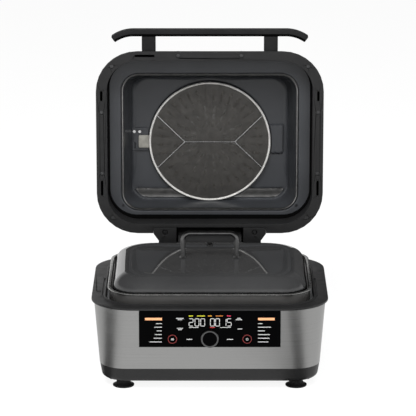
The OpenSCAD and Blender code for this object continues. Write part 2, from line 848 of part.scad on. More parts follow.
module hinge_pin() {
    color("#b9bbbd") in_base() translate([-pin_end_x, hinge_y, hinge_z]) rotate([0, 90, 0])
        cylinder(r = pin_r, h = 2 * pin_end_x);
}

// Pot and glass lid

// Rows of the pot's bowl, t inside its inner skin when positive
function bowl_rows(out, top) =
    let (lift = pot_wall - out, low = pot_floor_z + lift)
    concat(
        [for (a = [0:30:90])
            let (inset = pot_draft + pot_edge * (1 - sin(a)) - out)
            [pot_in_w - 2 * inset, pot_in_d - 2 * inset, max(pot_in_r - inset, 6),
                low + pot_edge * (1 - cos(a)), 0]],
        [[pot_in_w + 2 * out, pot_in_d + 2 * out, pot_in_r + out, top, 0]]);

module cooking_pot() {
    lip_z = rim_z - pot_lip_h;
    color("#242426") in_base() difference() {
        union() {
            translate([0, 0, well_z]) plate(skirt_w, skirt_d, skirt_r, rim_z - well_z);
            translate([0, 0, lip_z]) plate(pot_w, pot_d, pot_r, pot_lip_h);
            loft(bowl_rows(pot_wall, ledge_z));
        }
        translate([0, 0, ledge_z]) plate(skirt_w - 2 * pot_wall, skirt_d - 2 * pot_wall,
            skirt_r - pot_wall, rim_z);
        translate([0, 0, well_z - cut]) difference() {
            plate(skirt_w - 2 * pot_wall, skirt_d - 2 * pot_wall, skirt_r - pot_wall,
                ledge_z - pot_wall - well_z + cut);
            translate([0, 0, -cut]) plate(pot_in_w + 2 * pot_wall, pot_in_d + 2 * pot_wall,
                pot_in_r + pot_wall, rim_z);
        }
        loft(bowl_rows(0, ledge_z + cut));
    }
}

module glass_band() {
    lip_t = 1.6;
    color("#17171a") in_base() translate([0, 0, band_z]) difference() {
        frame(band_out_w, band_out_d, band_out_r, band_h, band_w);
        translate([0, 0, band_h / 2]) plate(band_out_w - 2 * lip_t, band_out_d - 2 * lip_t,
            band_out_r - lip_t, band_h);
    }
}

// Rows of the dome, t under its outer skin
function dome_rows(t, foot) = concat(
    [[glass_w - 2 * t, glass_d - 2 * t, glass_r - t, glass_z - foot, 0]],
    [for (a = [0:15:90])
        let (inset = dome_shoulder * (1 - cos(a)) + t)
        [glass_w - 2 * inset, glass_d - 2 * inset, max(glass_r - inset, 12),
            band_z + band_h + dome_h * sin(a) - t, 0]]);

module glass_pane() {
    color([0.35, 0.36, 0.38, 0.5]) in_base() difference() {
        loft(dome_rows(0, 0));
        loft(dome_rows(glass_t, cut));
        for (s = [-1, 1]) translate([s * leg_x, 0, dome_z - 2 * glass_t])
            cylinder(r = stud_r + seat_gap, h = 3 * glass_t);
        translate([0, vent_back, dome_z - 2 * glass_t]) cylinder(r = vent_r, h = 3 * glass_t);
    }
}

module glass_handle() {
    foot_z = dome_z + ferrule_h;
    top = loop_z - loop_rod;
    color("#8e8f90") in_base() difference() {
        union() {
            for (s = [-1, 1]) {
                translate([s * leg_x, 0, foot_z]) cylinder(r = loop_rod, h = top - loop_bend - foot_z);
                translate([s * (leg_x - loop_bend), 0, top - loop_bend])
                    rotate([90, s > 0 ? 0 : -90, 0])
                        rotate_extrude(angle = 90) translate([loop_bend, 0]) circle(loop_rod);
            }
            translate([-(leg_x - loop_bend), 0, top]) rotate([0, 90, 0])
                cylinder(r = loop_rod, h = 2 * (leg_x - loop_bend));
        }
        for (s = [-1, 1]) translate([s * leg_x, 0, foot_z - cut]) cylinder(r = stud_r, h = 10 + cut);
    }
}

module handle_studs() {
    under = dome_z - glass_t;
    cap_h = 2.5;
    grip_h = 8;
    color("#6a6b6c") in_base() for (s = [-1, 1]) translate([s * leg_x, 0, 0]) {
        translate([0, 0, dome_z]) cylinder(r1 = ferrule_r, r2 = ferrule_r - 1.4, h = ferrule_h);
        translate([0, 0, under - cap_h]) cylinder(r = ferrule_r, h = cap_h);
        translate([0, 0, under - cap_h])
            cylinder(r = stud_r, h = dome_z + ferrule_h + grip_h - under + cap_h);
    }
}

module steam_vent() {
    eye_r = 2.4;
    brim_r = vent_r + 2.2;
    head_h = 1.6;
    color("#a9aaab") in_base() translate([0, vent_back, dome_z - glass_t]) rotate_extrude() polygon([
        [eye_r, -1], [brim_r, -1], [brim_r, 0], [vent_r - seat_gap, 0], [vent_r - seat_gap, glass_t],
        [brim_r, glass_t], [brim_r - 1, glass_t + head_h], [eye_r, glass_t + head_h]]);
}

// Lid: rim, shell and liner

rim_points = concat(
    [for (sx = [-1, 1], sy = [-1, 1])
        [sx * (corner_x + corner_mid * sin(45)), sy * (corner_y + corner_mid * sin(45)), 0]],
    [for (sx = [-1, 1], k = [-0.33, 0.34]) [sx * side_mid_x, k * body_d / 2, 0]],
    [for (sx = [-1, 1]) [sx * 0.277 * body_w / 2, -end_mid_y, 0]]);
arm_points = [for (sx = [-1, 1]) [sx * (arm_x + arm_w / 2), body_d / 2 - 1.5, 0]];
counterbore = 6;

// Slots in the rim's face: [x, y, length, angle]
rim_slots = concat(
    [[-0.57 * body_w / 2, -end_mid_y, 36, 0]],
    [for (sx = [-1, 1]) [sx * side_mid_x, -0.51 * body_d / 2, 18, 90]],
    [for (sx = [-1, 1]) [sx * side_mid_x, 0.5 * body_d / 2, 28, 90]]);

// Block t inside the rim's leaning outer wall
function rim_row(z, t) =
    let (inset = rim_lean * z / rim_h + t)
    [body_w - 2 * inset, body_d - 2 * inset, body_r - inset, z, 0];
module rim_block(t, low, high) { loft([rim_row(low, t), rim_row(high, t)]); }

module lid_rim() {
    in_w = rim_in_w + 2 * rim_face;
    in_d = rim_in_d + 2 * rim_face;
    in_r = rim_in_r + rim_face;
    color("#2a2a2b") in_lid() difference() {
        union() {
            difference() {
                union() {
                    rim_block(0, 0, rim_h);
                    plate(in_w, in_d, in_r, skirt_h);
                }
                difference() {
                    rim_block(rim_face, rim_face, rim_h + cut);
                    plate(in_w, in_d, in_r, skirt_h);
                }
            }
            for (p = rim_points) translate(p) cylinder(r = boss_r, h = boss_h);
        }
        translate([0, 0, -cut]) plate(rim_in_w, rim_in_d, rim_in_r, skirt_h + 2 * cut);
        for (p = rim_points) translate(p + [0, 0, -cut]) {
            cylinder(r = screw_head + seat_gap, h = counterbore + cut);
            cylinder(r = screw_r, h = boss_h);
        }
        for (s = rim_slots) translate([s[0], s[1], -cut]) rotate([0, 0, s[3]])
            slot(s[2], 4, rim_face + 2 * cut);
        translate([-arm_out_x - seat_gap, notch_y, -cut])
            cube([2 * (arm_out_x + seat_gap), body_d, rim_h + 2 * cut]);
    }
}

module rim_screws() {
    screw_l = boss_h - counterbore + screw_head_h - 1.5;
    color("#3c3d3f") in_lid() for (p = concat(rim_points, arm_points))
        translate(p + [0, 0, counterbore - screw_head_h]) screw(screw_l);
}

// Rows of the lid's shell, t under its outer skin
function shell_rows(t, low) = concat(
    [rim_row(rim_h, t) - [0, 0, 0, low, 0]],
    [for (a = [crown_from:(90 - crown_from) / 6:90])
        let (inset = rim_lean + shell_draft + crown_w * (cos(crown_from) - cos(a)) + t)
        [body_w - 2 * inset, body_d - 2 * inset, max(body_r - inset, 14),
            lid_h - crown_h * (1 - sin(a)) - t, 0]]);
crown_from = 12;

module lid_shell() {
    vent_count = 13;
    vent_pitch = 11;
    vent_l = 58;
    color("#232324") in_lid() difference() {
        loft(shell_rows(0, 0));
        loft(shell_rows(wall, cut));
        for (i = [0:vent_count - 1])
            translate([(i - (vent_count - 1) / 2) * vent_pitch, fan_back, lid_h - 2 * wall])
                rotate([0, 0, 90]) slot(vent_l, 5, 3 * wall);
    }
}

seal_w = rim_in_w - 2 * seat_gap;
seal_d = rim_in_d - 2 * seat_gap;
seal_in_w = seal_w - 6.8;
seal_in_d = seal_d - 14;
seal_in_r = rim_in_r - 7;

module lid_gasket() {
    h = 4.5;
    color("#101011") in_lid() translate([0, 0, skirt_h - h]) difference() {
        plate(seal_w, seal_d, rim_in_r - seat_gap, h);
        translate([0, 0, -cut]) plate(seal_in_w, seal_in_d, seal_in_r, h + 2 * cut);
    }
}

// Deep-drawn pan of the liner, t outside its inner skin
module liner_pan(t, over) {
    groove_w = 17;
    loft([
        [mouth_w + 2 * t, mouth_d + 2 * t, mouth_r + t, skirt_h - over, mouth_back],
        [pan_w + 2 * t, pan_d + 2 * t, mouth_r + t, liner_depth + t, pan_back]]);
    translate([0, fan_back, liner_depth - 4]) cylinder(r = recess_r + t, h = recess_h + 4 + t);
    translate([0, mouth_rear - groove_w / 2 - 5, liner_depth - 4])
        slot(pan_w - 8 + 2 * t, groove_w + 2 * t, 7 + t);
}

rest_w = side_room + filter_ring_w;
rest_d = 56;
rest_y = fan_back - 4;

module lid_liner() {
    flange_w = rim_in_w + 4;
    flange_d = rim_in_d + 4;
    color("#404246") in_lid() difference() {
        union() {
            difference() {
                union() {
                    liner_pan(well_t, 0);
                    translate([0, 0, skirt_h]) plate(flange_w, flange_d, rim_in_r + 2, well_t);
                }
                liner_pan(0, cut);
            }
            translate([filter_r - filter_ring_w + rest_w / 2, rest_y, rest_z])
                plate(rest_w, rest_d, 5, liner_depth + well_t / 2 - rest_z);
        }
        translate([0, fan_back, recess_z - cut]) cylinder(r = shaft_r + 3, h = well_t + 2 * cut);
        for (s = [-1, 1])
            translate([s * top_leg_x, fan_back - sqrt(top_coil_r ^ 2 - top_leg_x ^ 2), recess_z - cut])
                cylinder(r = cold_r + seat_gap, h = well_t + 2 * cut);
        translate(sensor_place + [0, 0, recess_z - cut])
            cylinder(r = sensor_r + seat_gap, h = well_t + 2 * cut);
        for (p = rivet_places) translate(p + [0, 0, skirt_h - cut])
            cylinder(r = rivet_r, h = well_t + 2 * cut);
    }
}

top_leg_x = 16;
cold_r = rod_r * 0.75;
sensor_turn = -50;
sensor_in = 8;
sensor_place = [(recess_r - sensor_in) * cos(sensor_turn),
    fan_back + (recess_r - sensor_in) * sin(sensor_turn), 0];
sensor_r = 3;
rivet_r = 2;
// Rivets, midway between the corners of the mouth and of the gasket
rivet_in = (mouth_r + seal_in_r) / 2 * (1 - sin(45));
rivet_places = [for (sx = [-1, 1], sy = [-1, 1])
    [sx * ((mouth_w + seal_in_w) / 4 - rivet_in),
        mouth_back / 2 + sy * ((mouth_d + seal_in_d) / 4 - rivet_in), 0]];

module liner_rivets() {
    color("#9c9ea1") in_lid() for (p = rivet_places) translate(p + [0, 0, skirt_h - 1.4]) {
        cylinder(r1 = rivet_r + 0.6, r2 = rivet_r + 1.4, h = 1.4);
        cylinder(r = rivet_r, h = 1.4 + well_t + 2);
    }
}

module lid_sensor() {
    tip = 8;
    tail = 6;
    color("#b7b8ba") in_lid() translate(sensor_place + [0, 0, recess_z - tip]) {
        cylinder(r = sensor_r, h = tip + well_t + tail);
        translate([0, 0, tip + well_t]) cylinder(r = sensor_r + 2, h = tail / 2);
    }
}

// Lid: fan drive and element

module fan_guard() {
    guard_r = recess_r - seat_gap;
    t = 1;
    slot_w = 4.5;
    middle_r = 26;
    row_gap = 4;
    row_l = (fan_r - 2 * row_gap - middle_r) / 3 - row_gap / 2;
    rows = [for (k = [0:2]) [middle_r + k * (row_l + row_gap), row_l, 20]];
    outlet = [fan_r + 2, recess_r - 14 - fan_r, 36];
    color("#585a5d") in_fan() translate([0, 0, guard_z]) difference() {
        cylinder(r = guard_r, h = t);
        for (g = concat(rows, [outlet]), i = [0:g[2] - 1]) rotate([0, 0, (i + 0.5) * 360 / g[2]])
            translate([g[0] + g[1] / 2, 0, -cut]) slot(g[1], slot_w, t + 2 * cut);
    }
}

module top_element() {
    leg_h = recess_z + well_t + 5 - coil_z;
    leg_angle = asin(top_leg_x / top_coil_r);
    gap_angle = leg_angle - 3;
    color("#6b5e56") in_fan() translate([0, 0, coil_z]) {
        rotate([0, 0, -90 + gap_angle]) rotate_extrude(angle = 360 - 2 * gap_angle)
            translate([top_coil_r, 0]) circle(rod_r);
        for (s = [-1, 1]) translate([s * top_leg_x, -top_coil_r * cos(leg_angle), 0])
            cylinder(r = cold_r, h = leg_h);
    }
}

module element_clips() {
    turns = [20, 90, 160];
    grip = [2.65, 1.75] * rod_r;
    depth = recess_z - coil_z;
    color("#a6a8aa") in_fan() difference() {
        for (a = turns) rotate([0, 0, a]) translate([top_coil_r, 0, coil_z])
            linear_extrude(depth) square(grip, center = true);
        translate([0, 0, coil_z]) torus(top_coil_r, rod_r);
    }
}

module motor_bracket() {
    plate_w = 3.55 * motor_r;
    plate_d = 1.6 * motor_r;
    foot_r = 6;
    color("#97999b") in_fan() translate([0, 0, bracket_z]) difference() {
        union() {
            translate([0, 0, bracket_h - well_t]) plate(plate_w, plate_d, foot_r, well_t);
            for (s = [-1, 1]) translate([s * (plate_w / 2 - foot_r - 2), 0, 0])
                cylinder(r = foot_r, h = bracket_h);
        }
        translate([0, 0, -cut]) cylinder(r = shaft_r + 3, h = bracket_h + 2 * cut);
    }
}

module fan_motor() {
    bearing_r = 8;
    color("#7d7f82") in_fan() translate([0, 0, motor_z]) difference() {
        union() {
            cylinder(r = motor_r, h = motor_h - 3);
            cylinder(r = bearing_r, h = motor_h);
            translate([0, 0, 5]) plate(2.5 * motor_r, 1.1 * motor_r, 4, motor_h - 11);
        }
        translate([0, 0, -cut]) cylinder(r = shaft_r + run_fit, h = motor_h + 2 * cut);
    }
}

module convection_fan() {
    disc_t = 1.2;
    hub_r = 9;
    color("#a9abad") in_fan() difference() {
        union() {
            translate([0, 0, hub_z]) cylinder(r = fan_r, h = disc_t);
            translate([0, 0, fan_z + 4]) cylinder(r = hub_r, h = blade_h - 4);
            for (i = [0:fan_blades - 1]) rotate([0, 0, i * 360 / fan_blades])
                translate([hub_r + 13, -0.6, fan_z]) rotate([0, 0, 18])
                    cube([fan_r - hub_r - 17, 1.2, blade_h + disc_t / 2]);
        }
        translate([0, 0, fan_z]) cylinder(r = shaft_r, h = blade_h + 2 * disc_t);
    }
}

module fan_shaft() {
    color("#c3c5c7") in_fan() translate([0, 0, fan_z - 3]) cylinder(r = shaft_r, h = shaft_top - fan_z + 3);
}

module fan_nut() {
    color("#8f9193") in_fan() translate([0, 0, fan_z - 2]) difference() {
        cylinder(r = 7, h = 6, $fn = 6);
        translate([0, 0, -cut]) cylinder(r = shaft_r, h = 6 + 2 * cut);
    }
}

module cooling_fan() {
    r = 42;
    blades = 9;
    hub = 8;
    color("#303236") in_fan() translate([0, 0, cooler_z]) difference() {
        union() {
            cylinder(r = hub, h = cooler_h);
            cylinder(r = r, h = 1);
            for (i = [0:blades - 1]) rotate([0, 0, i * 360 / blades])
                translate([hub - 1, -0.6, 0]) cube([r - hub - 2, 1.2, cooler_h]);
        }
        translate([0, 0, -cut]) cylinder(r = shaft_r, h = cooler_h + 2 * cut);
    }
}

// Lid: splash filter and its clip

tab_w = 24;
tab_reach = side_room / 2;
tab_t = 1.7;

module filter_ring() {
    color("#b5b6b7") in_fan() translate([0, 0, filter_depth]) rotate_extrude() polygon([
        [filter_r - filter_ring_w, 0.8], [filter_r - filter_ring_w + 0.8, 0], [filter_r - 1.4, 0],
        [filter_r, 1.4], [filter_r, filter_h], [filter_r - filter_ring_w, filter_h]]);
}

module filter_mesh() {
    net_r = filter_r - filter_ring_w;
    gap = mesh_pitch - mesh_web;
    n = ceil(net_r / mesh_pitch);
    color("#4b4946") in_fan() translate([0, 0, filter_depth + filter_h / 2]) linear_extrude(0.8)
        difference() {
            circle(net_r);
            for (i = [-n:n - 1], j = [-n:n - 1]) let (x = (i + 0.5) * mesh_pitch, y = (j + 0.5) * mesh_pitch)
                if (norm([abs(x) + gap / 2, abs(y) + gap / 2]) < net_r - 1)
                    translate([x, y]) square(gap, center = true);
        }
}

module filter_wires() {
    wire_r = 1.2;
    half_bar = 46;
    end_r = filter_r - filter_ring_w;
    end_angle = 27;
    z = filter_depth + filter_h / 2 - wire_r;
    color("#8b8b89") in_fan() {
        rod([-half_bar, 0, z], [half_bar, 0, z], wire_r);
        for (sx = [-1, 1]) {
            translate([sx * half_bar, 0, z]) sphere(wire_r);
            for (sy = [-1, 1])
                rod([sx * half_bar, 0, z],
                    [sx * end_r * cos(end_angle), sy * end_r * sin(end_angle), z], wire_r);
        }
    }
}

module filter_tab() {
    color("#8c8a82") in_fan() difference() {
        translate([-filter_r - tab_reach / 2, 0, filter_depth + filter_h - tab_t])
            plate(tab_reach + 4, tab_w, 3, tab_t);
        translate([0, 0, filter_depth - cut]) cylinder(r = filter_r, h = filter_h + 2 * cut);
    }
}

clip_gap = 1;
clip_w = side_room - 2 * clip_gap;
clip_d = 43;
clip_y = -4;
clip_h = liner_depth - rest_z;
clip_x = -filter_r - clip_gap - clip_w / 2;

module filter_clip() {
    catch_l = 11;
    catch_w = 3;
    color("#4a4c50") in_fan() difference() {
        translate([clip_x, clip_y, rest_z]) plate(clip_w, clip_d, 3, clip_h);
        for (p = clip_points) translate(p + [0, 0, rest_z - cut])
            cylinder(r = screw_r, h = clip_h + 2 * cut);
        translate([clip_x - 0.28 * clip_w, clip_y + 12, rest_z - cut]) rotate([0, 0, 90])
            slot(catch_l, catch_w, clip_h + 2 * cut);
    }
}

clip_points = [for (s = [0, 1]) [clip_x + (s * 0.31 - 0.31) * clip_w, clip_y - clip_d / 2 + 7, 0]];

module clip_screws() {
    head_h = 1.6;
    color("#a3a4a5") in_fan() for (p = clip_points) translate(p + [0, 0, rest_z - head_h]) {
        cylinder(r = screw_r + 0.8, h = head_h);
        cylinder(r = screw_r, h = head_h + clip_h);
    }
}

// Lid: handle and hinge arms

// Places along the bar, from its right tip to its left: [side, angle round the curved end]
bar_steps = 6;
bar_stops = concat(
    [for (i = [bar_steps:-1:0]) [1, i * bar_angle / bar_steps]],
    [for (i = [0:bar_steps]) [-1, i * bar_angle / bar_steps]]);

// Section of the bar at one place, with softened corners
function bar_ring(stop) =
    let (s = stop[0], a = stop[1])
    [for (p = ring([bar_t, bar_h, bar_soft, 0, 0]))
        [s * (bar_straight + (bar_bend + p[0]) * sin(a)),
            bar_bend - bar_y - (bar_bend + p[0]) * cos(a), bar_z + p[1]]];

module handle_bar() {
    color("#1e1e1f") in_lid() skin([for (stop = bar_stops) bar_ring(stop)]);
}

module handle_posts() {
    post_h = 18;
    root_y = body_d / 2 - rim_lean;
    color("#1e1e1f") in_lid() difference() {
        for (s = [-1, 1]) translate([s * post_x, -root_y, bar_z])
            rotate([90, 0, 0]) plate(post_w, post_h, 4, bar_gap + rim_lean);
        rim_block(0, -cut, rim_h + cut);
    }
}

module hinge_arm(s) {
    root_y = notch_y + seat_gap;
    back_y = body_d / 2 + seat_gap;
    rise = hinge_up + arm_r;
    end_y = hinge_y + arm_r + cut;
    low_y = body_d / 2 + 0.63 * hinge_back;
    bore_x = pin_end_x + slide_gap;
    color("#272728") in_lid() difference() {
        intersection() {
            side_profile(s > 0 ? arm_x : -arm_out_x, arm_w) {
                translate([hinge_y, hinge_up]) circle(arm_r);
                polygon([
                    [root_y, 0], [hinge_y - 7, 0], [hinge_y + arm_r * sin(45), hinge_up - arm_r * sin(45)],
                    [hinge_y, rise], [back_y, rise], [back_y, rim_h - seat_gap],
                    [root_y, rim_h - seat_gap]]);
            }
            translate([0, 0, -cut]) linear_extrude(rise + 2 * cut) polygon([
                [s * (arm_x - cut), root_y - cut], [s * (arm_out_x + cut), root_y - cut],
                [s * (arm_out_x + cut), body_d / 2], [s * arm_low_x, low_y], [s * arm_low_x, end_y],
                [s * (arm_x - cut), end_y]]);
        }
        translate([-bore_x, hinge_y, hinge_up]) rotate([0, 90, 0])
            cylinder(r = pin_r + run_fit, h = 2 * bore_x);
        for (p = arm_points) translate(p + [0, 0, -cut]) {
            cylinder(r = 5, h = counterbore + cut);
            cylinder(r = screw_r, h = boss_h);
        }
    }
}

bottom_tray();
steel_wrap();
rear_panel();
top_bezel();
heating_well();
base_element();
element_supports();
thermostat();
control_panel();
key_rings();
display_module();
control_board();
key_switches();
dial_encoder();
power_board();
cord_inlet();
for (f = feet) foot(f[1], f[2]);
tray_screws();
lid_switch();
hinge_block();
hinge_pin();
cooking_pot();
glass_pane();
glass_band();
glass_handle();
handle_studs();
steam_vent();
dial_knob();
dial_ring();
start_button();
power_button();
lid_rim();
lid_shell();
lid_gasket();
lid_liner();
fan_guard();
top_element();
element_clips();
motor_bracket();
fan_motor();
lid_sensor();
filter_clip();
clip_screws();
liner_rivets();
rim_screws();
handle_bar();
handle_posts();
hinge_arm(-1);  // hinge_arm_left
hinge_arm(1);  // hinge_arm_right
convection_fan();
fan_shaft();
fan_nut();
cooling_fan();
filter_ring();
filter_mesh();
filter_wires();
filter_tab();
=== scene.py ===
"""Looks of a countertop air fryer grill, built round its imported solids. Lengths are in metres."""
import math

import bmesh
import bpy
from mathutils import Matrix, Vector


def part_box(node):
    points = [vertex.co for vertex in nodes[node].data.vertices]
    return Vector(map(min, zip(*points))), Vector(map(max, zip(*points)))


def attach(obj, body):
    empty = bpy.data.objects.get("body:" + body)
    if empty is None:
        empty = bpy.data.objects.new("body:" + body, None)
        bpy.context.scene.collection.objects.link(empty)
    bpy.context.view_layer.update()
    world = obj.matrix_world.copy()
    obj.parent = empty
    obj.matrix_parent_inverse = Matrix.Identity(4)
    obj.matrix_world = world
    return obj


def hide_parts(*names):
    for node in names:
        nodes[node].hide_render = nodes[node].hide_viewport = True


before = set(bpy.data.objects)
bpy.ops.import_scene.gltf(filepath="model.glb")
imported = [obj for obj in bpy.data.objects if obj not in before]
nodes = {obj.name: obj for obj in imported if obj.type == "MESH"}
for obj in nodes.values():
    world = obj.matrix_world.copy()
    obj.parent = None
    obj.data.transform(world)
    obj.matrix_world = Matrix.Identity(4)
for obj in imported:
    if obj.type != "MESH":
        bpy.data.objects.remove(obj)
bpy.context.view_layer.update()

# Places taken from the frame

bezel_low, bezel_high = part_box("top_bezel")
wrap_low, wrap_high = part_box("steel_wrap")
pot_low, pot_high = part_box("cooking_pot")
pane_low, pane_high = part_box("glass_pane")
panel_low, panel_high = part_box("control_panel")
rim_low, rim_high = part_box("lid_rim")
shell_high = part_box("lid_shell")[1]
liner_low, liner_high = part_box("lid_liner")
mesh_low, mesh_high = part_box("filter_mesh")
hoop_low, hoop_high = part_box("filter_ring")
bar_low, bar_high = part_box("handle_bar")

BASE_MID_Y = (bezel_low.y + bezel_high.y) / 2
LID_FACE_Y = rim_low.y
LID_MID_Z = (rim_low.z + rim_high.z) / 2
FAN_DOWN = LID_MID_Z - (mesh_low.z + mesh_high.z) / 2
BODY_W = bezel_high.x - bezel_low.x
BODY_D = bezel_high.y - bezel_low.y
POT_W = pot_high.x - pot_low.x
POT_D = pot_high.y - pot_low.y

# Sizes that the solids don't show by their boxes

BODY_R = 0.075
WRAP_R = 0.072
WRAP_LOW_R = 0.048
WRAP_TAPER = 0.010
SHEET_T = 0.001
SEAM_LAP = 0.010
SEAM_BACK = BODY_D / 2 - BODY_R + SEAM_LAP
PANEL_GAP = 0.0004
RIM_H = 0.026
RIM_LEAN = 0.006
SHELL_DRAFT = 0.017
CROWN_H = 0.070
CROWN_W = 0.064
CROWN_FROM = math.radians(12)
POT_R = 0.054
POT_GAP = 0.0025

# Fineness of the new meshes, and the angle from which an edge stays sharp

CORNER_STEPS = 20
SIDE_SHARES = (0.012, 0.1, 0.3, 0.5, 0.7, 0.9, 0.988)
CREASE = math.radians(32)


# Mesh helpers

def cosd(turn):
    return math.cos(math.radians(turn))


def sind(turn):
    return math.sin(math.radians(turn))


def mix(a, b, share):
    """The value, or the row of values, that lies at a share of the way from a to b."""
    if isinstance(a, (int, float)):
        return a + (b - a) * share
    return tuple(mix(p, q, share) for p, q in zip(a, b))


def smooth_step(low, high, x):
    t = min(1.0, max(0.0, (x - low) / (high - low)))
    return t * t * (3 - 2 * t)


def outline(size):
    """Closed outline of a rounded rectangle, given as (width, depth, corner radius)."""
    w, d, r = size
    corners = []
    for k in range(4):
        cx = (w / 2 - r) * (1 if k in (0, 3) else -1)
        cy = (d / 2 - r) * (1 if k < 2 else -1)
        turns = [90 * (k + i / CORNER_STEPS) for i in range(CORNER_STEPS + 1)]
        corners.append([(cx + r * cosd(a), cy + r * sind(a)) for a in turns])
    points = []
    for k in range(4):
        points += corners[k]
        start, end = corners[k][-1], corners[(k + 1) % 4][0]
        points += [mix(start, end, s) for s in SIDE_SHARES]
    return points


def grown(size, t):
    """A rounded rectangle whose outline lies further out by t."""
    return (size[0] + 2 * t, size[1] + 2 * t, size[2] + t)


def in_base(x, y, z):
    return (x, y + BASE_MID_Y, z)


def in_lid(x, y, depth):
    """A place in the lid: y runs towards the hinge and depth away from the rim's face."""
    return (x, LID_FACE_Y + depth, LID_MID_Z - y)


def ring(size, height, place):
    """A rounded outline at one height of the base, or at one depth of the lid."""
    return [place(x, y, height) for x, y in outline(size)]


def facing(x0, x1, y, z0, z1):
    """Corners of an upright rectangle that faces the front."""
    return [(x0, y, z0), (x1, y, z0), (x1, y, z1), (x0, y, z1)]


def loft(rows, wrap=False, cap_ends=False):
    """Vertices and faces of a skin through rows of points, each row closed on itself."""
    count = len(rows[0])
    verts = [p for row in rows for p in row]
    faces = []
    for j in range(len(rows) if wrap else len(rows) - 1):
        a, b = j * count, (j + 1) % len(rows) * count
        for i in range(count):
            k = (i + 1) % count
            faces.append((a + i, a + k, b + k, b + i))
    if cap_ends:
        faces += [tuple(range(count)), tuple(range(len(verts) - count, len(verts)))]
    return verts, faces


def double_skin(outer, inner):
    """A closed shell between two skins: joined at their first rows, each capped at its last."""
    verts, faces = loft(outer + inner[::-1])
    count = len(outer[0])
    top = (len(outer) - 1) * count
    foot = len(verts) - count
    del faces[top:top + count]
    faces += [tuple(range(top, top + count)), tuple(range(top + count, top + 2 * count))]
    faces += [(i, (i + 1) % count, foot + (i + 1) % count, foot + i) for i in range(count)]
    return verts, faces


def soften(corners, steps):
    """A closed section whose corners, (across, up, radius), are rounded to arcs."""
    points = []
    for i, (x, y, r) in enumerate(corners):
        here = Vector((x, y))
        to_last = (Vector(corners[i - 1][:2]) - here).normalized()
        to_next = (Vector(corners[(i + 1) % len(corners)][:2]) - here).normalized()
        half = to_last.angle(to_next) / 2
        centre = here + (to_last + to_next).normalized() * (r / math.sin(half))
        first = (here + to_last * (r / math.tan(half)) - centre).normalized()
        last = (here + to_next * (r / math.tan(half)) - centre).normalized()
        points += [tuple(centre + first.slerp(last, s / steps) * r) for s in range(steps + 1)]
    return points


def prism(points, low, high):
    """A closed prism over points, moved by the two vectors low and high."""
    count = len(points)
    verts = [tuple(Vector(p) + Vector(step)) for step in (low, high) for p in points]
    faces = [(i, (i + 1) % count, count + (i + 1) % count, count + i) for i in range(count)]
    return verts, faces + [tuple(range(count))[::-1], tuple(range(count, 2 * count))]


def joined(parts):
    """Several shapes as one."""
    verts, faces = [], []
    for part_verts, part_faces in parts:
        faces += [tuple(i + len(verts) for i in f) for f in part_faces]
        verts += part_verts
    return verts, faces


def make(name, shape, second=()):
    """A new piece. Faces whose number is in second get the second finish."""
    mesh = bpy.data.meshes.new(name)
    mesh.from_pydata(shape[0], [], shape[1])
    for i in second:
        mesh.polygons[i].material_index = 1
    work = bmesh.new()
    work.from_mesh(mesh)
    bmesh.ops.recalc_face_normals(work, faces=work.faces)
    work.to_mesh(mesh)
    work.free()
    thing = bpy.data.objects.new(name, mesh)
    bpy.context.scene.collection.objects.link(thing)
    return thing


def settle(thing):
    """Applies the modifiers of a new piece."""
    graph = bpy.context.evaluated_depsgraph_get()
    graph.update()
    made = bpy.data.meshes.new_from_object(thing.evaluated_get(graph))
    thing.modifiers.clear()
    old = thing.data
    thing.data = made
    bpy.data.meshes.remove(old)


def carve(thing, shape):
    """Cuts a closed shape out of a piece."""
    tool = make(thing.name + "_tool", shape)
    step = thing.modifiers.new("carve", "BOOLEAN")
    step.operation = "DIFFERENCE"
    step.solver = "EXACT"
    step.object = tool
    settle(thing)
    bpy.data.objects.remove(tool)


def dress(thing, body, slot, stands_for=(), finish=None, second=None):
    """Gives a new piece its shading, its finish by name, its body and the nodes that it stands for."""
    thing.data.shade_smooth()
    thing.data.set_sharp_from_angle(angle=CREASE)
    thing.data.materials.append(FINISH[finish or slot])
    if second:
        thing.data.materials.append(FINISH[second])
    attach(thing, body)
    if stands_for:
        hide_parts(*stands_for)
    return thing


# Materials

SHADE_BAND = (0.35, 0.65)
SPREAD_BAND = (0.3, 0.7)
BUMP_STRENGTH = 0.6


def put(node, **values):
    """Sets input values of a shader node. A space in an input's name is written as an underscore."""
    for key, value in values.items():
        node.inputs[key.replace("_", " ")].default_value = value
    return node


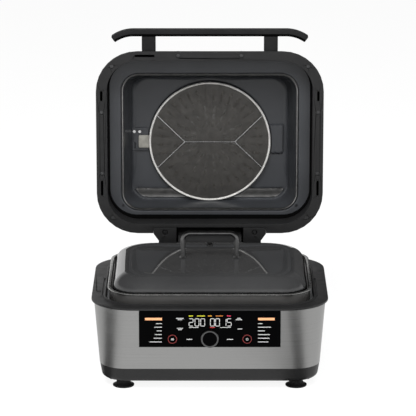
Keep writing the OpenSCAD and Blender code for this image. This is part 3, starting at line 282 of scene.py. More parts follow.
class Shader:
    """A material with one principled shader, and short ways to add nodes to it."""

    def __init__(self, name):
        self.material = bpy.data.materials.new(name)
        self.material.use_nodes = True
        self.tree = self.material.node_tree
        self.main = self.tree.nodes["Principled BSDF"]

    def add(self, kind, **inputs):
        return put(self.tree.nodes.new(kind), **inputs)

    def link(self, start, end):
        self.tree.links.new(start, end)

    def noise(self, scale, stretch=(1, 1, 1), detail=3.0):
        coords = self.add("ShaderNodeTexCoord")
        places = self.add("ShaderNodeMapping", Scale=stretch)
        node = self.add("ShaderNodeTexNoise", Scale=scale, Detail=detail)
        self.link(coords.outputs["Object"], places.inputs["Vector"])
        self.link(places.outputs["Vector"], node.inputs["Vector"])
        return node.outputs["Fac"]

    def shade(self, pattern, dark, light):
        """Drives the colour from a pattern, between two shades, and gives back that colour."""
        ramp = self.add("ShaderNodeValToRGB")
        for stop, place, colour in zip(ramp.color_ramp.elements, SHADE_BAND, (dark, light)):
            stop.position = place
            stop.color = (*colour, 1)
        self.link(pattern, ramp.inputs["Fac"])
        self.link(ramp.outputs["Color"], self.main.inputs["Base Color"])
        return ramp.outputs["Color"]

    def spread(self, pattern, low, high):
        """Drives the roughness from a pattern, between two limits."""
        start, end = SPREAD_BAND
        node = self.add("ShaderNodeMapRange", From_Min=start, From_Max=end, To_Min=low, To_Max=high)
        self.link(pattern, node.inputs["Value"])
        self.link(node.outputs["Result"], self.main.inputs["Roughness"])

    def bump(self, pattern, depth):
        node = self.add("ShaderNodeBump", Distance=depth, Strength=BUMP_STRENGTH)
        self.link(pattern, node.inputs["Height"])
        self.link(node.outputs["Normal"], self.main.inputs["Normal"])


def tinted(colour, share):
    return tuple(c * share for c in colour)


def moulded(name, colour, rough, grain=1500.0, depth=0.00003, gloss=0.3, mottle=0.05):
    """Moulded plastic, rubber or a coating: slight clouding and a fine grain."""
    cloud_scale, wear_scale, dark, light = 18.0, 60.0, 0.92, 1.08
    shader = Shader(name)
    put(shader.main, Specular_IOR_Level=gloss)
    shader.shade(shader.noise(cloud_scale), tinted(colour, dark), tinted(colour, light))
    shader.spread(shader.noise(wear_scale), rough - mottle, rough + mottle)
    shader.bump(shader.noise(grain, detail=2.0), depth)
    return shader.material


def brushed(name, colour, rough, stretch, anisotropic=0.0):
    """Brushed metal: long streaks, short along the axes where stretch is large."""
    dark, light, haze, depth = 0.94, 1.06, 0.07, 0.000012
    shader = Shader(name)
    put(shader.main, Metallic=1.0, Anisotropic=anisotropic)
    streaks = shader.noise(1.0, stretch, detail=4.0)
    shader.shade(streaks, tinted(colour, dark), tinted(colour, light))
    shader.spread(streaks, rough - haze, rough + haze)
    shader.bump(streaks, depth)
    return shader.material


def plain_metal(name, colour, rough, metallic=1.0):
    """Rolled, cast or plated metal: soft clouds and fine handling marks."""
    cloud_scale, wear_scale, grain, depth = 90.0, 270.0, 1080.0, 0.00001
    dark, light, polish, haze = 0.85, 1.12, 0.06, 0.08
    shader = Shader(name)
    put(shader.main, Metallic=metallic)
    shader.shade(shader.noise(cloud_scale), tinted(colour, dark), tinted(colour, light))
    shader.spread(shader.noise(wear_scale), rough - polish, rough + haze)
    shader.bump(shader.noise(grain), depth)
    return shader.material


def lit(name, colour, strength):
    """Lit or printed mark on the panel: an even glow with a faint grain. On printed marks the glow is painted
    light.
    """
    grain, dark = 900.0, 0.9
    shader = Shader(name)
    put(shader.main, Roughness=0.5, Emission_Strength=strength)
    glow = shader.shade(shader.noise(grain), tinted(colour, dark), colour)
    shader.link(glow, shader.main.inputs["Emission Color"])
    return shader.material


def smoked_glass(name):
    """Dark glass that lets half of the light through, with faint clouds and smears."""
    cloud_scale, wear_scale, polish, haze = 6.0, 40.0, 0.02, 0.04
    dark, light = (0.043, 0.0435, 0.0445), (0.054, 0.0545, 0.0555)
    shader = Shader(name)
    put(shader.main, Transmission_Weight=0.5, IOR=1.5)
    shader.shade(shader.noise(cloud_scale), dark, light)
    shader.spread(shader.noise(wear_scale), polish, haze)
    return shader.material


MOULDED = {
    "black_plastic": dict(colour=(0.010, 0.010, 0.0102), rough=0.45),
    "handle_plastic": dict(colour=(0.0115, 0.0115, 0.0117), rough=0.6, gloss=0.05),
    # Darker copy of the handle plastic for the bar's underside: painted shade
    "grip_under": dict(colour=(0.0015, 0.0015, 0.0015), rough=0.7, gloss=0.02),
    "panel_gloss": dict(colour=(0.0008, 0.0008, 0.0009), rough=0.12, grain=300.0, depth=0.000002,
                        gloss=0.012),
    "key_trim": dict(colour=(0.16, 0.022, 0.022), rough=0.4),
    "circuit_board": dict(colour=(0.012, 0.075, 0.035), rough=0.45, grain=500.0),
    "switch_plastic": dict(colour=(0.03, 0.03, 0.033), rough=0.5),
    "ceramic": dict(colour=(0.62, 0.58, 0.5), rough=0.5, grain=700.0),
    "rubber": dict(colour=(0.007, 0.007, 0.0072), rough=0.55, grain=900.0, gloss=0.2),
    # Seals darker than the rubber: partly their own black, partly painted shade of the gaps they sit in
    "seal_black": dict(colour=(0.0015, 0.0015, 0.0015), rough=0.6, grain=900.0, gloss=0.04),
    "coated_liner": dict(colour=(0.026, 0.0275, 0.0305), rough=0.3, grain=1100.0, depth=0.00001,
                         gloss=0.34, mottle=0.02),
    "pot_coating": dict(colour=(0.03, 0.0292, 0.0282), rough=0.26, grain=1300.0, depth=0.000004,
                        gloss=0.5, mottle=0.015),
}
BRUSHED = {
    "brushed_steel": dict(colour=(0.284, 0.284, 0.28), rough=0.34, stretch=(4, 4, 2200), anisotropic=0.6),
    "dial_trim": dict(colour=(0.11, 0.11, 0.11), rough=0.4, stretch=(700, 700, 700)),
}
PLAIN_METAL = {
    "bright_steel": dict(colour=(0.5, 0.5, 0.5), rough=0.24),
    "filter_steel": dict(colour=(0.5, 0.49, 0.47), rough=0.3),
    "mesh_steel": dict(colour=(0.125, 0.119, 0.11), rough=0.45, metallic=0.75),
    "hoop_steel": dict(colour=(0.6, 0.59, 0.57), rough=0.42, metallic=0.4),
    "tab_steel": dict(colour=(0.42, 0.41, 0.37), rough=0.45),
    "loop_steel": dict(colour=(0.14, 0.14, 0.14), rough=0.32),
    # Lighter metal on the liner's rolled lip and pressed scoop: a painted highlight
    "rolled_edge": dict(colour=(0.25, 0.248, 0.245), rough=0.34),
    # Lighter metal on the pot's rolled rim: a painted highlight
    "pot_edge": dict(colour=(0.36, 0.36, 0.35), rough=0.28),
    "dark_screws": dict(colour=(0.09, 0.09, 0.092), rough=0.4),
    "dark_rivet": dict(colour=(0.06, 0.06, 0.065), rough=0.4),
    "sheet_steel": dict(colour=(0.4, 0.41, 0.42), rough=0.38),
    "fan_aluminium": dict(colour=(0.5, 0.51, 0.52), rough=0.36),
    "motor_steel": dict(colour=(0.3, 0.31, 0.32), rough=0.42),
    "element": dict(colour=(0.09, 0.075, 0.065), rough=0.5),
}
LIT = {
    # White print on the panel and keys, with a glow that is painted light
    "white_mark": dict(colour=(0.44, 0.44, 0.44), strength=0.6),
    "digit_light": dict(colour=(0.42, 0.42, 0.42), strength=0.5),
    "heading_light": dict(colour=(0.58, 0.27, 0.13), strength=0.4),
    "scale_light_1": dict(colour=(0.62, 0.62, 0.02), strength=0.5),
    "scale_light_2": dict(colour=(0.55, 0.52, 0.03), strength=0.5),
    "scale_light_3": dict(colour=(0.62, 0.28, 0.02), strength=0.5),
    "scale_light_4": dict(colour=(0.5, 0.17, 0.03), strength=0.5),
    "scale_light_5": dict(colour=(0.6, 0.03, 0.09), strength=0.5),
    "timer_light": dict(colour=(0.5, 0.03, 0.03), strength=0.7),
}
FINISH = {"glass": smoked_glass("glass")}
for kind, looks in ((moulded, MOULDED), (brushed, BRUSHED), (plain_metal, PLAIN_METAL), (lit, LIT)):
    FINISH.update({name: kind(name, **look) for name, look in looks.items()})


# Liner of the lid: one column of points for each direction from the fan's middle, from flange to shaft

LINER_STEPS = 420
LINER_T = 0.0012
LINER_R = 0.058
LINER_DRAFT = 0.012
FLANGE = (liner_high.x - liner_low.x, liner_high.z - liner_low.z, LINER_R)
FLANGE_DEPTH = liner_low.y - LID_FACE_Y
MOUTH_W, MOUTH_D, MOUTH_R = MOUTH = (0.317, 0.250, 0.030)
MOUTH_BACK = 0.0085
PLATE = (MOUTH_W - 2 * LINER_DRAFT, MOUTH_D - LINER_DRAFT, MOUTH_R)
PLATE_BACK = MOUTH_BACK + LINER_DRAFT / 2
PLATE_DEPTH = 0.106
PLATE_ROWS = 30

# Rolled lip as (out from the mouth, sunk below the flange), and the rows with a painted highlight on its edge

LIP = ((0.0065, 0), (0.0054, 0), (0.0048, 0.0003), (0.0045, 0.0010), (0.0043, 0.0024), (0.0031, 0.0026),
       (0.0028, 0.0014), (0.0022, 0.0003), (0.0014, -0.0001), (0.0006, 0.0003), (0.00015, 0.0012),
       (0, 0.0025))
LIP_BRIGHT_FROM, LIP_BRIGHT_TO = 6, 12

# Bends between the walls and the plate, tighter on the hinge's side, where the sine of the direction is high

WALL_DROP = PLATE_DEPTH - FLANGE_DEPTH
WALL_SHARES = (0.1, 0.3, 0.55, 0.8)
SIDE_BEND, LOW_BEND, LEAST_BEND = 0.012, 0.0045, 0.0006
LOW_BEND_FROM, LOW_BEND_TO = 0.3, 0.55
BEND_SHARE = 0.8

# Pressed scoop, raised filter rest and round recess

SCOOP_HALF, SCOOP_TALL, SCOOP_DROP = PLATE[0] / 2 - 0.004, 0.021, 0.009
SCOOP_Y = MOUTH_BACK + MOUTH_D / 2 - 0.0135
# Past SCOOP_BRIGHT of its depth, the scoop's faces get the painted highlight finish
SCOOP_SOFT, SCOOP_SHALLOW, SCOOP_BRIGHT = 0.0025, 0.25, 0.1
REST_X, REST_Y = PLATE[0] / 2 - 0.019, FAN_DOWN - 0.004
REST_HALF, REST_TALL, REST_LIFT, REST_SOFT = 0.023, 0.028, 0.0045, 0.003
RECESS_R, RECESS_H, RECESS_EDGE, RECESS_BEND = 0.112, 0.028, 0.003, 0.006
RECESS_FLOOR = PLATE_DEPTH + RECESS_H
FLOOR_RING_R = RECESS_R * 0.6
SHAFT_HOLE_R = 0.007


def reach(size, mid, angle):
    """Distance from the fan's middle to a rounded outline, along one direction, by halving."""
    halvings = 40
    w, d, r = size
    ux, uy = math.cos(angle), math.sin(angle)
    low, high = 0.0, w
    for _ in range(halvings):
        t = (low + high) / 2
        qx = abs(ux * t) - (w / 2 - r)
        qy = abs(uy * t + FAN_DOWN - mid) - (d / 2 - r)
        outside = math.hypot(max(qx, 0), max(qy, 0)) + min(max(qx, qy), 0) - r
        low, high = (t, high) if outside < 0 else (low, t)
    return low


def scoop_depth(x, y):
    """How deep the pressed scoop is at a place on the plate: shallow at its lower edge."""
    down = y - SCOOP_Y
    half = SCOOP_TALL / 2
    from_middle = math.hypot(max(abs(x) - (SCOOP_HALF - half), 0), down)
    share = mix(1.0, SCOOP_SHALLOW, smooth_step(-half, half, down))
    return SCOOP_DROP * share * (1 - smooth_step(half - SCOOP_SOFT, half, from_middle))


def rest_height(x, y):
    """How far the filter rest stands out at a place on the plate."""
    outside = max(abs(x - REST_X) - REST_HALF, abs(y - REST_Y) - REST_TALL)
    return REST_LIFT * (1 - smooth_step(-REST_SOFT, 0, outside))


def wall_points(angle, foot, bend):
    """The leaning wall, and the bend that takes it into the plate."""
    points = []
    for share in WALL_SHARES:
        down = share * (1 - bend / WALL_DROP)
        size = mix(MOUTH, PLATE, down)
        mid = mix(MOUTH_BACK, PLATE_BACK, down)
        points.append((reach(size, mid, angle), FLANGE_DEPTH + WALL_DROP * down))
    turns = range(0, 91, 18)
    return points + [(foot - bend * (1 - cosd(a)), PLATE_DEPTH - bend * (1 - sind(a))) for a in turns]


def plate_points(angle, outer, inner):
    """Points across the plate, and for each of them whether the scoop's painted highlight is there."""
    points, bright = [], []
    for k in range(1, PLATE_ROWS):
        far = mix(outer, inner, k / PLATE_ROWS)
        x, y = far * math.cos(angle), far * math.sin(angle) + FAN_DOWN
        sink = scoop_depth(x, y)
        points.append((far, PLATE_DEPTH + sink - rest_height(x, y)))
        bright.append(sink > SCOOP_BRIGHT * SCOOP_DROP)
    return points, bright


def recess_points(edge_r):
    """The round recess: its eased edge, its wall, the bend below and its floor."""
    ease = edge_r - RECESS_R
    bend_top = RECESS_FLOOR - RECESS_BEND
    points = [(edge_r - ease * sind(a), PLATE_DEPTH + RECESS_EDGE * (1 - cosd(a)))
              for a in (0, 22.5, 45, 67.5, 90)]
    points += [(RECESS_R, PLATE_DEPTH + RECESS_H / 2), (RECESS_R, bend_top)]
    points += [(RECESS_R - RECESS_BEND * (1 - cosd(a)), RECESS_FLOOR - RECESS_BEND * (1 - sind(a)))
               for a in (30, 60, 90)]
    return points + [(FLOOR_RING_R, RECESS_FLOOR), (SHAFT_HOLE_R, RECESS_FLOOR)]


def build_liner():
    """Deep-drawn liner: flange, rolled mouth, leaning walls, pressed back plate and round recess."""
    columns, scoop = [], []
    for i in range(LINER_STEPS):
        angle = 2 * math.pi * i / LINER_STEPS
        ux, uy = math.cos(angle), math.sin(angle)
        column = [(reach(FLANGE, 0, angle), FLANGE_DEPTH)]
        column += [(reach(grown(MOUTH, t), MOUTH_BACK, angle), FLANGE_DEPTH + sunk) for t, sunk in LIP]
        foot = reach(PLATE, PLATE_BACK, angle)
        fillet = mix(SIDE_BEND, LOW_BEND, smooth_step(LOW_BEND_FROM, LOW_BEND_TO, uy))
        bend = min(fillet, max(LEAST_BEND, BEND_SHARE * (foot - RECESS_R - RECESS_EDGE)))
        column += wall_points(angle, foot, bend)
        outer, inner = foot - bend, RECESS_R + RECESS_EDGE
        if outer < inner:
            outer = inner = (outer + RECESS_R) / 2
        points, bright = plate_points(angle, outer, inner)
        # Faces deep in the scoop get the painted highlight finish
        scoop += [(len(column) + k) * LINER_STEPS + i for k, shows in enumerate(bright) if shows]
        column += points + recess_points(inner)
        columns.append([in_lid(r * ux, r * uy + FAN_DOWN, depth) for r, depth in column])
    # The lip's rows get the painted highlight finish
    lip = range(LIP_BRIGHT_FROM * LINER_STEPS, LIP_BRIGHT_TO * LINER_STEPS)
    thing = make("liner_skin", loft(list(zip(*columns))), [*lip, *scoop])
    sheet = thing.modifiers.new("sheet", "SOLIDIFY")
    sheet.thickness = LINER_T
    sheet.offset = -1
    settle(thing)
    return dress(thing, "lid", "coated_liner", ["lid_liner"], second="rolled_edge")


# Other pieces of the lid

def build_shell():
    """Outer cover of the lid with its rounded crown and the air slots over the fan."""
    height = shell_high.y - LID_FACE_Y
    skin, least_r, steps = 0.0025, 0.016, 24
    vents, vent_pitch, vent_l, vent_w = 13, 0.011, 0.058, 0.005
    cut = (0, 3 * skin, 0)
    body = (BODY_W, BODY_D, BODY_R)

    def rows(t):
        made = [ring(grown(body, -(RIM_LEAN + t)), RIM_H, in_lid)]
        for k in range(steps + 1):
            a = mix(CROWN_FROM, math.pi / 2, k / steps)
            inset = RIM_LEAN + SHELL_DRAFT + CROWN_W * (math.cos(CROWN_FROM) - math.cos(a)) + t
            size = (BODY_W - 2 * inset, BODY_D - 2 * inset, max(BODY_R - inset, least_r - t))
            made.append(ring(size, height - CROWN_H * (1 - math.sin(a)) - t, in_lid))
        return made

    def vent(x):
        r, half = vent_w / 2, (vent_l - vent_w) / 2
        points = [in_lid(x + r * cosd(a), FAN_DOWN + r * sind(a) + (half if a <= 180 else -half), height)
                  for a in range(0, 360, 15)]
        return prism(points, tuple(-c for c in cut), cut)

    thing = make("lid_cover", double_skin(rows(0), rows(skin)))
    carve(thing, joined([vent((i - (vents - 1) / 2) * vent_pitch) for i in range(vents)]))
    return dress(thing, "lid", "black_plastic", ["lid_shell"])


def build_filter_net():
    """Two crossing layers of fine wires, cut to the filter's round."""
    radius = (mesh_high.x - mesh_low.x) / 2
    mid_y = (mesh_low.y + mesh_high.y) / 2
    mid_z = LID_MID_Z - FAN_DOWN
    pitch, wire, shortest = 0.0021, 0.00045, 0.004
    corners = [(wire * cosd(a), wire * sind(a)) for a in (45, 135, 225, 315)]
    count = int(radius / pitch)
    parts = []
    for i in range(-count, count + 1):
        offset = i * pitch
        half = math.sqrt(radius * radius - offset * offset)
        if half < shortest:
            continue
        across = [(0, mid_y - wire + depth, mid_z + offset + side) for side, depth in corners]
        upright = [(offset + side, mid_y + wire + depth, mid_z) for side, depth in corners]
        parts.append(prism(across, (-half, 0, 0), (half, 0, 0)))
        parts.append(prism(upright, (0, 0, -half), (0, 0, half)))
    thing = make("filter_net", joined(parts))
    return dress(thing, "filter", "filter_steel", ["filter_mesh"], "mesh_steel")


def build_hoop():
    """Rolled hoop round the filter, of rounded section."""
    radius = (hoop_high.x - hoop_low.x) / 2
    mid_z = (hoop_low.z + hoop_high.z) / 2
    half = (hoop_high.y - hoop_low.y) / 2
    wide, steps, around = 0.0021, 160, 14
    turns = [2 * math.pi * i / steps for i in range(steps)]
    rows = []
    for k in range(around):
        a = 2 * math.pi * k / around
        r = radius - wide + wide * math.cos(a)
        y = hoop_low.y + half + half * math.sin(a)
        rows.append([(r * math.cos(t), y, mid_z + r * math.sin(t)) for t in turns])
    thing = make("filter_hoop", loft(rows, wrap=True))
    return dress(thing, "filter", "filter_steel", ["filter_ring"], "hoop_steel")


def build_handle():
    """Lid handle: one bar with a rounded section, its ends swept back towards the lid."""
    mid_y = (bar_low.y + bar_high.y) / 2
    tall, half_w = bar_high.y - bar_low.y, bar_high.x
    bend, sweep, sweep_steps = 0.062, math.radians(36), 12
    thick, soft, belly, arc_steps = 0.0125, 0.0026, 0.0052, 6
    tip_r = 0.0012
    straight = half_w - (bend + thick / 2) * math.sin(sweep)
    top = bar_high.z - thick / 2
    corners = ((-1, -1, belly), (1, -1, soft), (1, 1, soft), (-1, 1, soft))

    def section(shrink):
        return soften([(sx * (thick / 2 - shrink), sy * (tall / 2 - shrink), r - shrink)
                       for sx, sy, r in corners], arc_steps)

    def row(side, a, shrink=0.0, out=0.0):
        return [(side * (straight + (bend + n) * math.sin(a) + out * math.cos(a)), mid_y + b,
                 top - bend + (bend + n) * math.cos(a) - out * math.sin(a)) for n, b in section(shrink)]

    ends = [(tip_r * (1 - cosd(a)), -tip_r * (1 - sind(a))) for a in (0, 30, 60, 90)]
    turns = [sweep * k / sweep_steps for k in range(sweep_steps)]
    rows = [row(1, sweep, shrink, out) for shrink, out in ends[::-1]]
    rows += [row(1, a) for a in turns[::-1]] + [row(-1, a) for a in turns]
    rows += [row(-1, sweep, shrink, out) for shrink, out in ends]
    # The bar's underside faces get the painted shade finish
    under = [j * len(rows[0]) + i for j in range(len(rows) - 1) for i in range(arc_steps)]
    thing = make("grip_bar", loft(rows, cap_ends=True), under)
    return dress(thing, "lid", "handle_plastic", ["handle_bar"], second="grip_under")


# Base, pot and glass lid

def build_wrap():
    """Brushed steel wrap: tapered sides, open at the back, a window for the panel."""
    depth = 2 * (BASE_MID_Y - wrap_low.y)
    top = (wrap_high.x - wrap_low.x, depth, WRAP_R)
    low = (top[0] - 2 * WRAP_TAPER, depth, WRAP_LOW_R)
    shares = (0, 0.25, 0.5, 0.75, 1)
    past, window_d, back_tall = 0.01, 0.03, 1

    def rows(t):
        return [ring(grown(mix(low, top, s), -t), mix(wrap_low.z, wrap_high.z, s), in_base) for s in shares]

    thing = make("steel_skin", loft(rows(0) + rows(SHEET_T)[::-1], wrap=True))
    half = panel_high.x + PANEL_GAP
    window = facing(-half, half, wrap_low.y - past, panel_low.z - PANEL_GAP, wrap_high.z + past)
    back = facing(-BODY_W, BODY_W, BASE_MID_Y + SEAM_BACK, 0, back_tall)
    carve(thing, joined([prism(window, (0, 0, 0), (0, window_d, 0)), prism(back, (0, 0, 0), (0, BODY_D, 0))]))
    return dress(thing, "base", "brushed_steel", ["steel_wrap"])


def build_pane():
    """Domed glass pane with a crowned top."""
    w, d = pane_high.x - pane_low.x, pane_high.y - pane_low.y
    foot, crest = pane_low.z, pane_high.z
    corner, shoulder, thick = 0.0435, 0.034, 0.004
    skirt, crown, least_r = 0.003, 0.003, 0.0005
    top_half, inner_top_half = 0.006, 0.012
    shoulder_steps, top_steps = 16, 14
    rise = crest - foot - skirt - crown

    def height(inset):
        over = min(inset / shoulder, 1)
        bow = 1 - min(inset / (d / 2), 1)
        return foot + skirt + rise * math.sqrt(max(0, 1 - (1 - over) ** 2)) + crown * (1 - bow * bow)

    def row(inset, z):
        size = (w - 2 * inset, d - 2 * inset, max(least_r, min(corner, d / 2 - inset - least_r)))
        return ring(size, z, in_base)

    insets = [shoulder * (1 - cosd(90 * k / shoulder_steps)) for k in range(shoulder_steps + 1)]
    insets += [mix(shoulder, d / 2 - top_half, k / top_steps) for k in range(1, top_steps + 1)]
    outer = [row(0, foot)] + [row(i, height(i)) for i in insets]
    inner = [row(thick, foot)]
    inner += [row(min(i, d / 2 - inner_top_half) + thick, height(i) - thick) for i in insets]
    return dress(make("dome_glass", double_skin(outer, inner)), "glass_lid", "glass", ["glass_pane"])


def build_pot():
    """Pot with a rolled rim, a ledge for the glass lid and a drawn bowl."""
    top, floor = pot_high.z, pot_low.z
    roll, wall, lip = 0.0015, 0.0025, 0.003
    draft, bend, least_r = 0.008, 0.016, 0.006
    ledge_drop, ledge_w, hem = 0.0065, 0.012, 0.0005
    ease, ease_mid, soft = 0.002, 0.0006, 0.001
    crest_in, crest_drop = 0.0008, 0.0002
    coated_rows = 2
    neck = lip + wall
    ledge_z, ledge_in = top - ledge_drop, neck + ledge_w
    mid_z, hem_z = (top + bezel_low.z) / 2, bezel_low.z + hem
    ledge_edge = ((0, ease), (ease_mid, ease_mid), (ease, 0))

    def bowl(out):
        inset = ledge_in - out
        low = floor + wall - out
        return [(inset + draft + bend, low)] + [
            (inset + draft + bend * (1 - sind(a)), low + bend * (1 - cosd(a))) for a in range(15, 91, 15)]

    inside = bowl(0) + [(ledge_in - near, ledge_z - down) for near, down in ledge_edge]
    inside += [(neck + soft, ledge_z), (neck, ledge_z + soft), (neck, top - soft)]
    edge = [(neck - crest_in, top - crest_drop), (roll, top)]
    edge += [(roll - roll * sind(a), top - roll + roll * cosd(a)) for a in range(20, 181, 20)]
    outside = [(lip, top - 2 * roll - crest_drop), (lip, mid_z), (lip, hem_z)]
    under = [(neck, hem_z), (neck, ledge_z - wall), (ledge_in - wall, ledge_z - wall)]
    section = inside + edge + outside + under + bowl(wall)[::-1]
    rows = [ring((POT_W - 2 * i, POT_D - 2 * i, max(POT_R - i, least_r)), z, in_base) for i, z in section]
    count = len(rows[0])
    start = len(inside) - 1
    # The rolled rim's rows, short of the last coated ones, get the painted highlight finish
    bright = range(start * count, (start + len(edge) - coated_rows) * count)
    thing = make("pot_skin", loft(rows, cap_ends=True), bright)
    return dress(thing, "pot", "pot_coating", ["cooking_pot"], second="pot_edge")


def build_bead():
    """Rounded bead on the bezel, round the pot's opening."""
    out, half, tall, sunk = POT_GAP + 0.0022, 0.0020, 0.0022, 0.001
    section = [(out + half * cosd(a), bezel_high.z + tall * sind(a)) for a in range(0, 181, 15)]
    section += [(out - half, bezel_high.z - sunk), (out + half, bezel_high.z - sunk)]
    rows = [ring(grown((POT_W, POT_D, POT_R), o), z, in_base) for o, z in section]
    return dress(make("bezel_bead", loft(rows, wrap=True)), "base", "black_plastic")


# Marks on the panel

MARK_T = 0.00012
MARK_SUNK = 0.00002
ROW_TALL, SMALL_ROW_TALL = 0.0013, 0.0010
TICK_PITCH, TICK_SHARE = 0.0012, 0.72

# Display figures: their text, left edges, foot, height, width, stroke and the gap between two segments

SEGMENTS = {"0": "abcdef", "1": "bc", "2": "abged", "5": "afgcd"}
FIGURES = "2000015"
FIGURES_X = (-0.0361, -0.0260, -0.0161, 0.0005, 0.0093, 0.0205, 0.0294)
FIGURE_Z, FIGURE_TALL, FIGURE_WIDE = 0.1170, 0.0140, 0.0079
STROKE, SEGMENT_GAP = 0.0010, 0.00025

# The two lists at the sides: heights, inner edges and lengths of their rows

LIST_Z = (0.1218, 0.1154, 0.1088, 0.1021, 0.0956, 0.0890)
LEFT_X, RIGHT_X = -0.0823, 0.0829
LEFT_L = (0.010, 0.013, 0.009, 0.012, 0.014, 0.021)
RIGHT_L = (0.008, 0.022, 0.012, 0.021, 0.020, 0.018)

# Short captions round the display as (middle, height, length), and rows with two ends each

CAPTIONS = ((-0.0512, 0.1312, 0.013), (-0.0512, 0.1288, 0.008), (-0.0512, 0.1134, 0.011),
            (-0.0512, 0.1110, 0.007), (0.0501, 0.1312, 0.006), (0.0501, 0.1288, 0.011),
            (0.0519, 0.1122, 0.008), (-0.0349, 0.0935, 0.010), (0.0348, 0.0935, 0.011))
UNDER_Z, UNDER_LEFT, UNDER_RIGHT = 0.1149, (-0.0357, -0.0192), (0.0175, 0.0364)
TIMER_ENDS = (0.0003, 0.0089)
HEADING_Z, HEADING_TALL = 0.1300, 0.0044
HEADING_LEFT, HEADING_RIGHT = (-0.1113, -0.0821), (0.0829, 0.1113)
SCALE_Z = 0.1355
SCALE_ENDS = ((-0.0357, -0.0288), (-0.0220, -0.0082), (-0.0031, 0.0038), (0.0106, 0.0227), (0.0295, 0.0364))


def mark(points, lift=0.0):
    """A thin printed shape on the panel, given by (x, z) corners."""
    face = panel_low.y - lift
    return prism([(x, face, z) for x, z in points], (0, MARK_SUNK, 0), (0, -MARK_T, 0))


def block(x0, x1, z0, z1, lift=0.0):
    """A rectangular mark."""
    return mark([(x0, z0), (x1, z0), (x1, z1), (x0, z1)], lift)


def bar(x0, x1, z, tall):
    return block(x0, x1, z - tall / 2, z + tall / 2)


def dashes(x0, x1, z, tall=ROW_TALL):
    """A row of small ticks that stands for a printed line."""
    count = max(2, round((x1 - x0) / TICK_PITCH))
    step = (x1 - x0) / count
    return [bar(x0 + i * step, x0 + (i + TICK_SHARE) * step, z, tall) for i in range(count)]


def digit(sign, x0):
    """A seven-segment figure with mitred ends, its left edge at x0."""
    t, gap = STROKE, SEGMENT_GAP
    x1 = x0 + FIGURE_WIDE
    z0, z1, zm = FIGURE_Z, FIGURE_Z + FIGURE_TALL, FIGURE_Z + FIGURE_TALL / 2

    def flat(z):
        return [(x0 + gap + t / 2, z), (x0 + gap + t, z - t / 2), (x1 - gap - t, z - t / 2),
                (x1 - gap - t / 2, z), (x1 - gap - t, z + t / 2), (x0 + gap + t, z + t / 2)]

    def upright(x, low, high):
        return [(x, low + gap), (x + t / 2, low + gap + t / 2), (x + t / 2, high - gap - t / 2),
                (x, high - gap), (x - t / 2, high - gap - t / 2), (x - t / 2, low + gap + t / 2)]

    shapes = {"a": flat(z1 - t / 2), "g": flat(zm), "d": flat(z0 + t / 2),
              "f": upright(x0 + t / 2, zm, z1 - t / 2), "b": upright(x1 - t / 2, zm, z1 - t / 2),
              "e": upright(x0 + t / 2, z0 + t / 2, zm), "c": upright(x1 - t / 2, z0 + t / 2, zm)}
    return [mark(shapes[s]) for s in SEGMENTS[sign]]


def print_marks(name, parts, finish):
    return dress(make(name, joined(parts)), "base", "panel_gloss", finish=finish)


def build_marks():
    """Display figures, list rows and captions, headings, the coloured scale and the timer's mark."""
    figures = []
    for sign, x in zip(FIGURES, FIGURES_X):
        figures += digit(sign, x)
    print_marks("display_figures", figures, "digit_light")
    lines = []
    for z, left_l, right_l in zip(LIST_Z, LEFT_L, RIGHT_L):
        lines += dashes(LEFT_X - left_l, LEFT_X, z) + dashes(RIGHT_X, RIGHT_X + right_l, z)
    for x, z, wide in CAPTIONS:
        lines += dashes(x - wide / 2, x + wide / 2, z)
    for ends in (UNDER_LEFT, UNDER_RIGHT):
        lines += dashes(*ends, UNDER_Z, SMALL_ROW_TALL)
    print_marks("panel_lines", lines, "white_mark")
    heads = [bar(*ends, HEADING_Z, HEADING_TALL) for ends in (HEADING_LEFT, HEADING_RIGHT)]
    print_marks("panel_headings", heads, "heading_light")
    for i, ends in enumerate(SCALE_ENDS):
        print_marks(f"scale_step_{i + 1}", dashes(*ends, SCALE_Z), f"scale_light_{i + 1}")
    print_marks("timer_mark", dashes(*TIMER_ENDS, UNDER_Z, SMALL_ROW_TALL), "timer_light")


def build_signs():
    """Plain signs on the two keys: a broken ring with a bar, and two short bars."""
    out_r, in_r = 0.0021, 0.0016
    stem_half, stem_low, stem_high = 0.00025, 0.0004, 0.0026
    bars, bar_tall = ((0.0022, 0.0004), (0.0026, -0.0015)), 0.0009
    turns = range(-235, 56, 10)
    low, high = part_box("power_button")
    x0, z0 = (low.x + high.x) / 2, (low.z + high.z) / 2
    lift = panel_low.y - low.y
    arc = [(x0 + out_r * cosd(a), z0 + out_r * sind(a)) for a in turns]
    arc += [(x0 + in_r * cosd(a), z0 + in_r * sind(a)) for a in turns[::-1]]
    stem = block(x0 - stem_half, x0 + stem_half, z0 + stem_low, z0 + stem_high, lift)
    thing = make("power_sign", joined([mark(arc, lift), stem]))
    dress(thing, "power_key", "switch_plastic", finish="white_mark")
    low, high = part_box("start_button")
    x0, z0 = (low.x + high.x) / 2, (low.z + high.z) / 2
    rows = [block(x0 - half, x0 + half, z0 + up, z0 + up + bar_tall, lift) for half, up in bars]
    dress(make("start_sign", joined(rows)), "start_key", "switch_plastic", finish="white_mark")


# CAD nodes that keep their shape: bevel widths, and finishes that differ from the node's slot

BEVELS = {"lid_rim": 0.0008, "top_bezel": 0.0008, "hinge_block": 0.0012, "hinge_arm_left": 0.0010,
          "hinge_arm_right": 0.0010, "handle_posts": 0.0012, "control_panel": 0.0003, "filter_tab": 0.0004,
          "filter_clip": 0.0005, "rear_panel": 0.0003}
BEVEL_STEPS = 2
BEVEL_FROM = math.radians(40)
WELD_GAP = 0.000002
OWN_FINISH = {"filter_tab": "tab_steel", "glass_handle": "loop_steel", "handle_studs": "loop_steel",
              "steam_vent": "loop_steel", "liner_rivets": "dark_rivet", "lid_gasket": "seal_black",
              "glass_band": "seal_black", "hinge_pin": "dark_screws"}


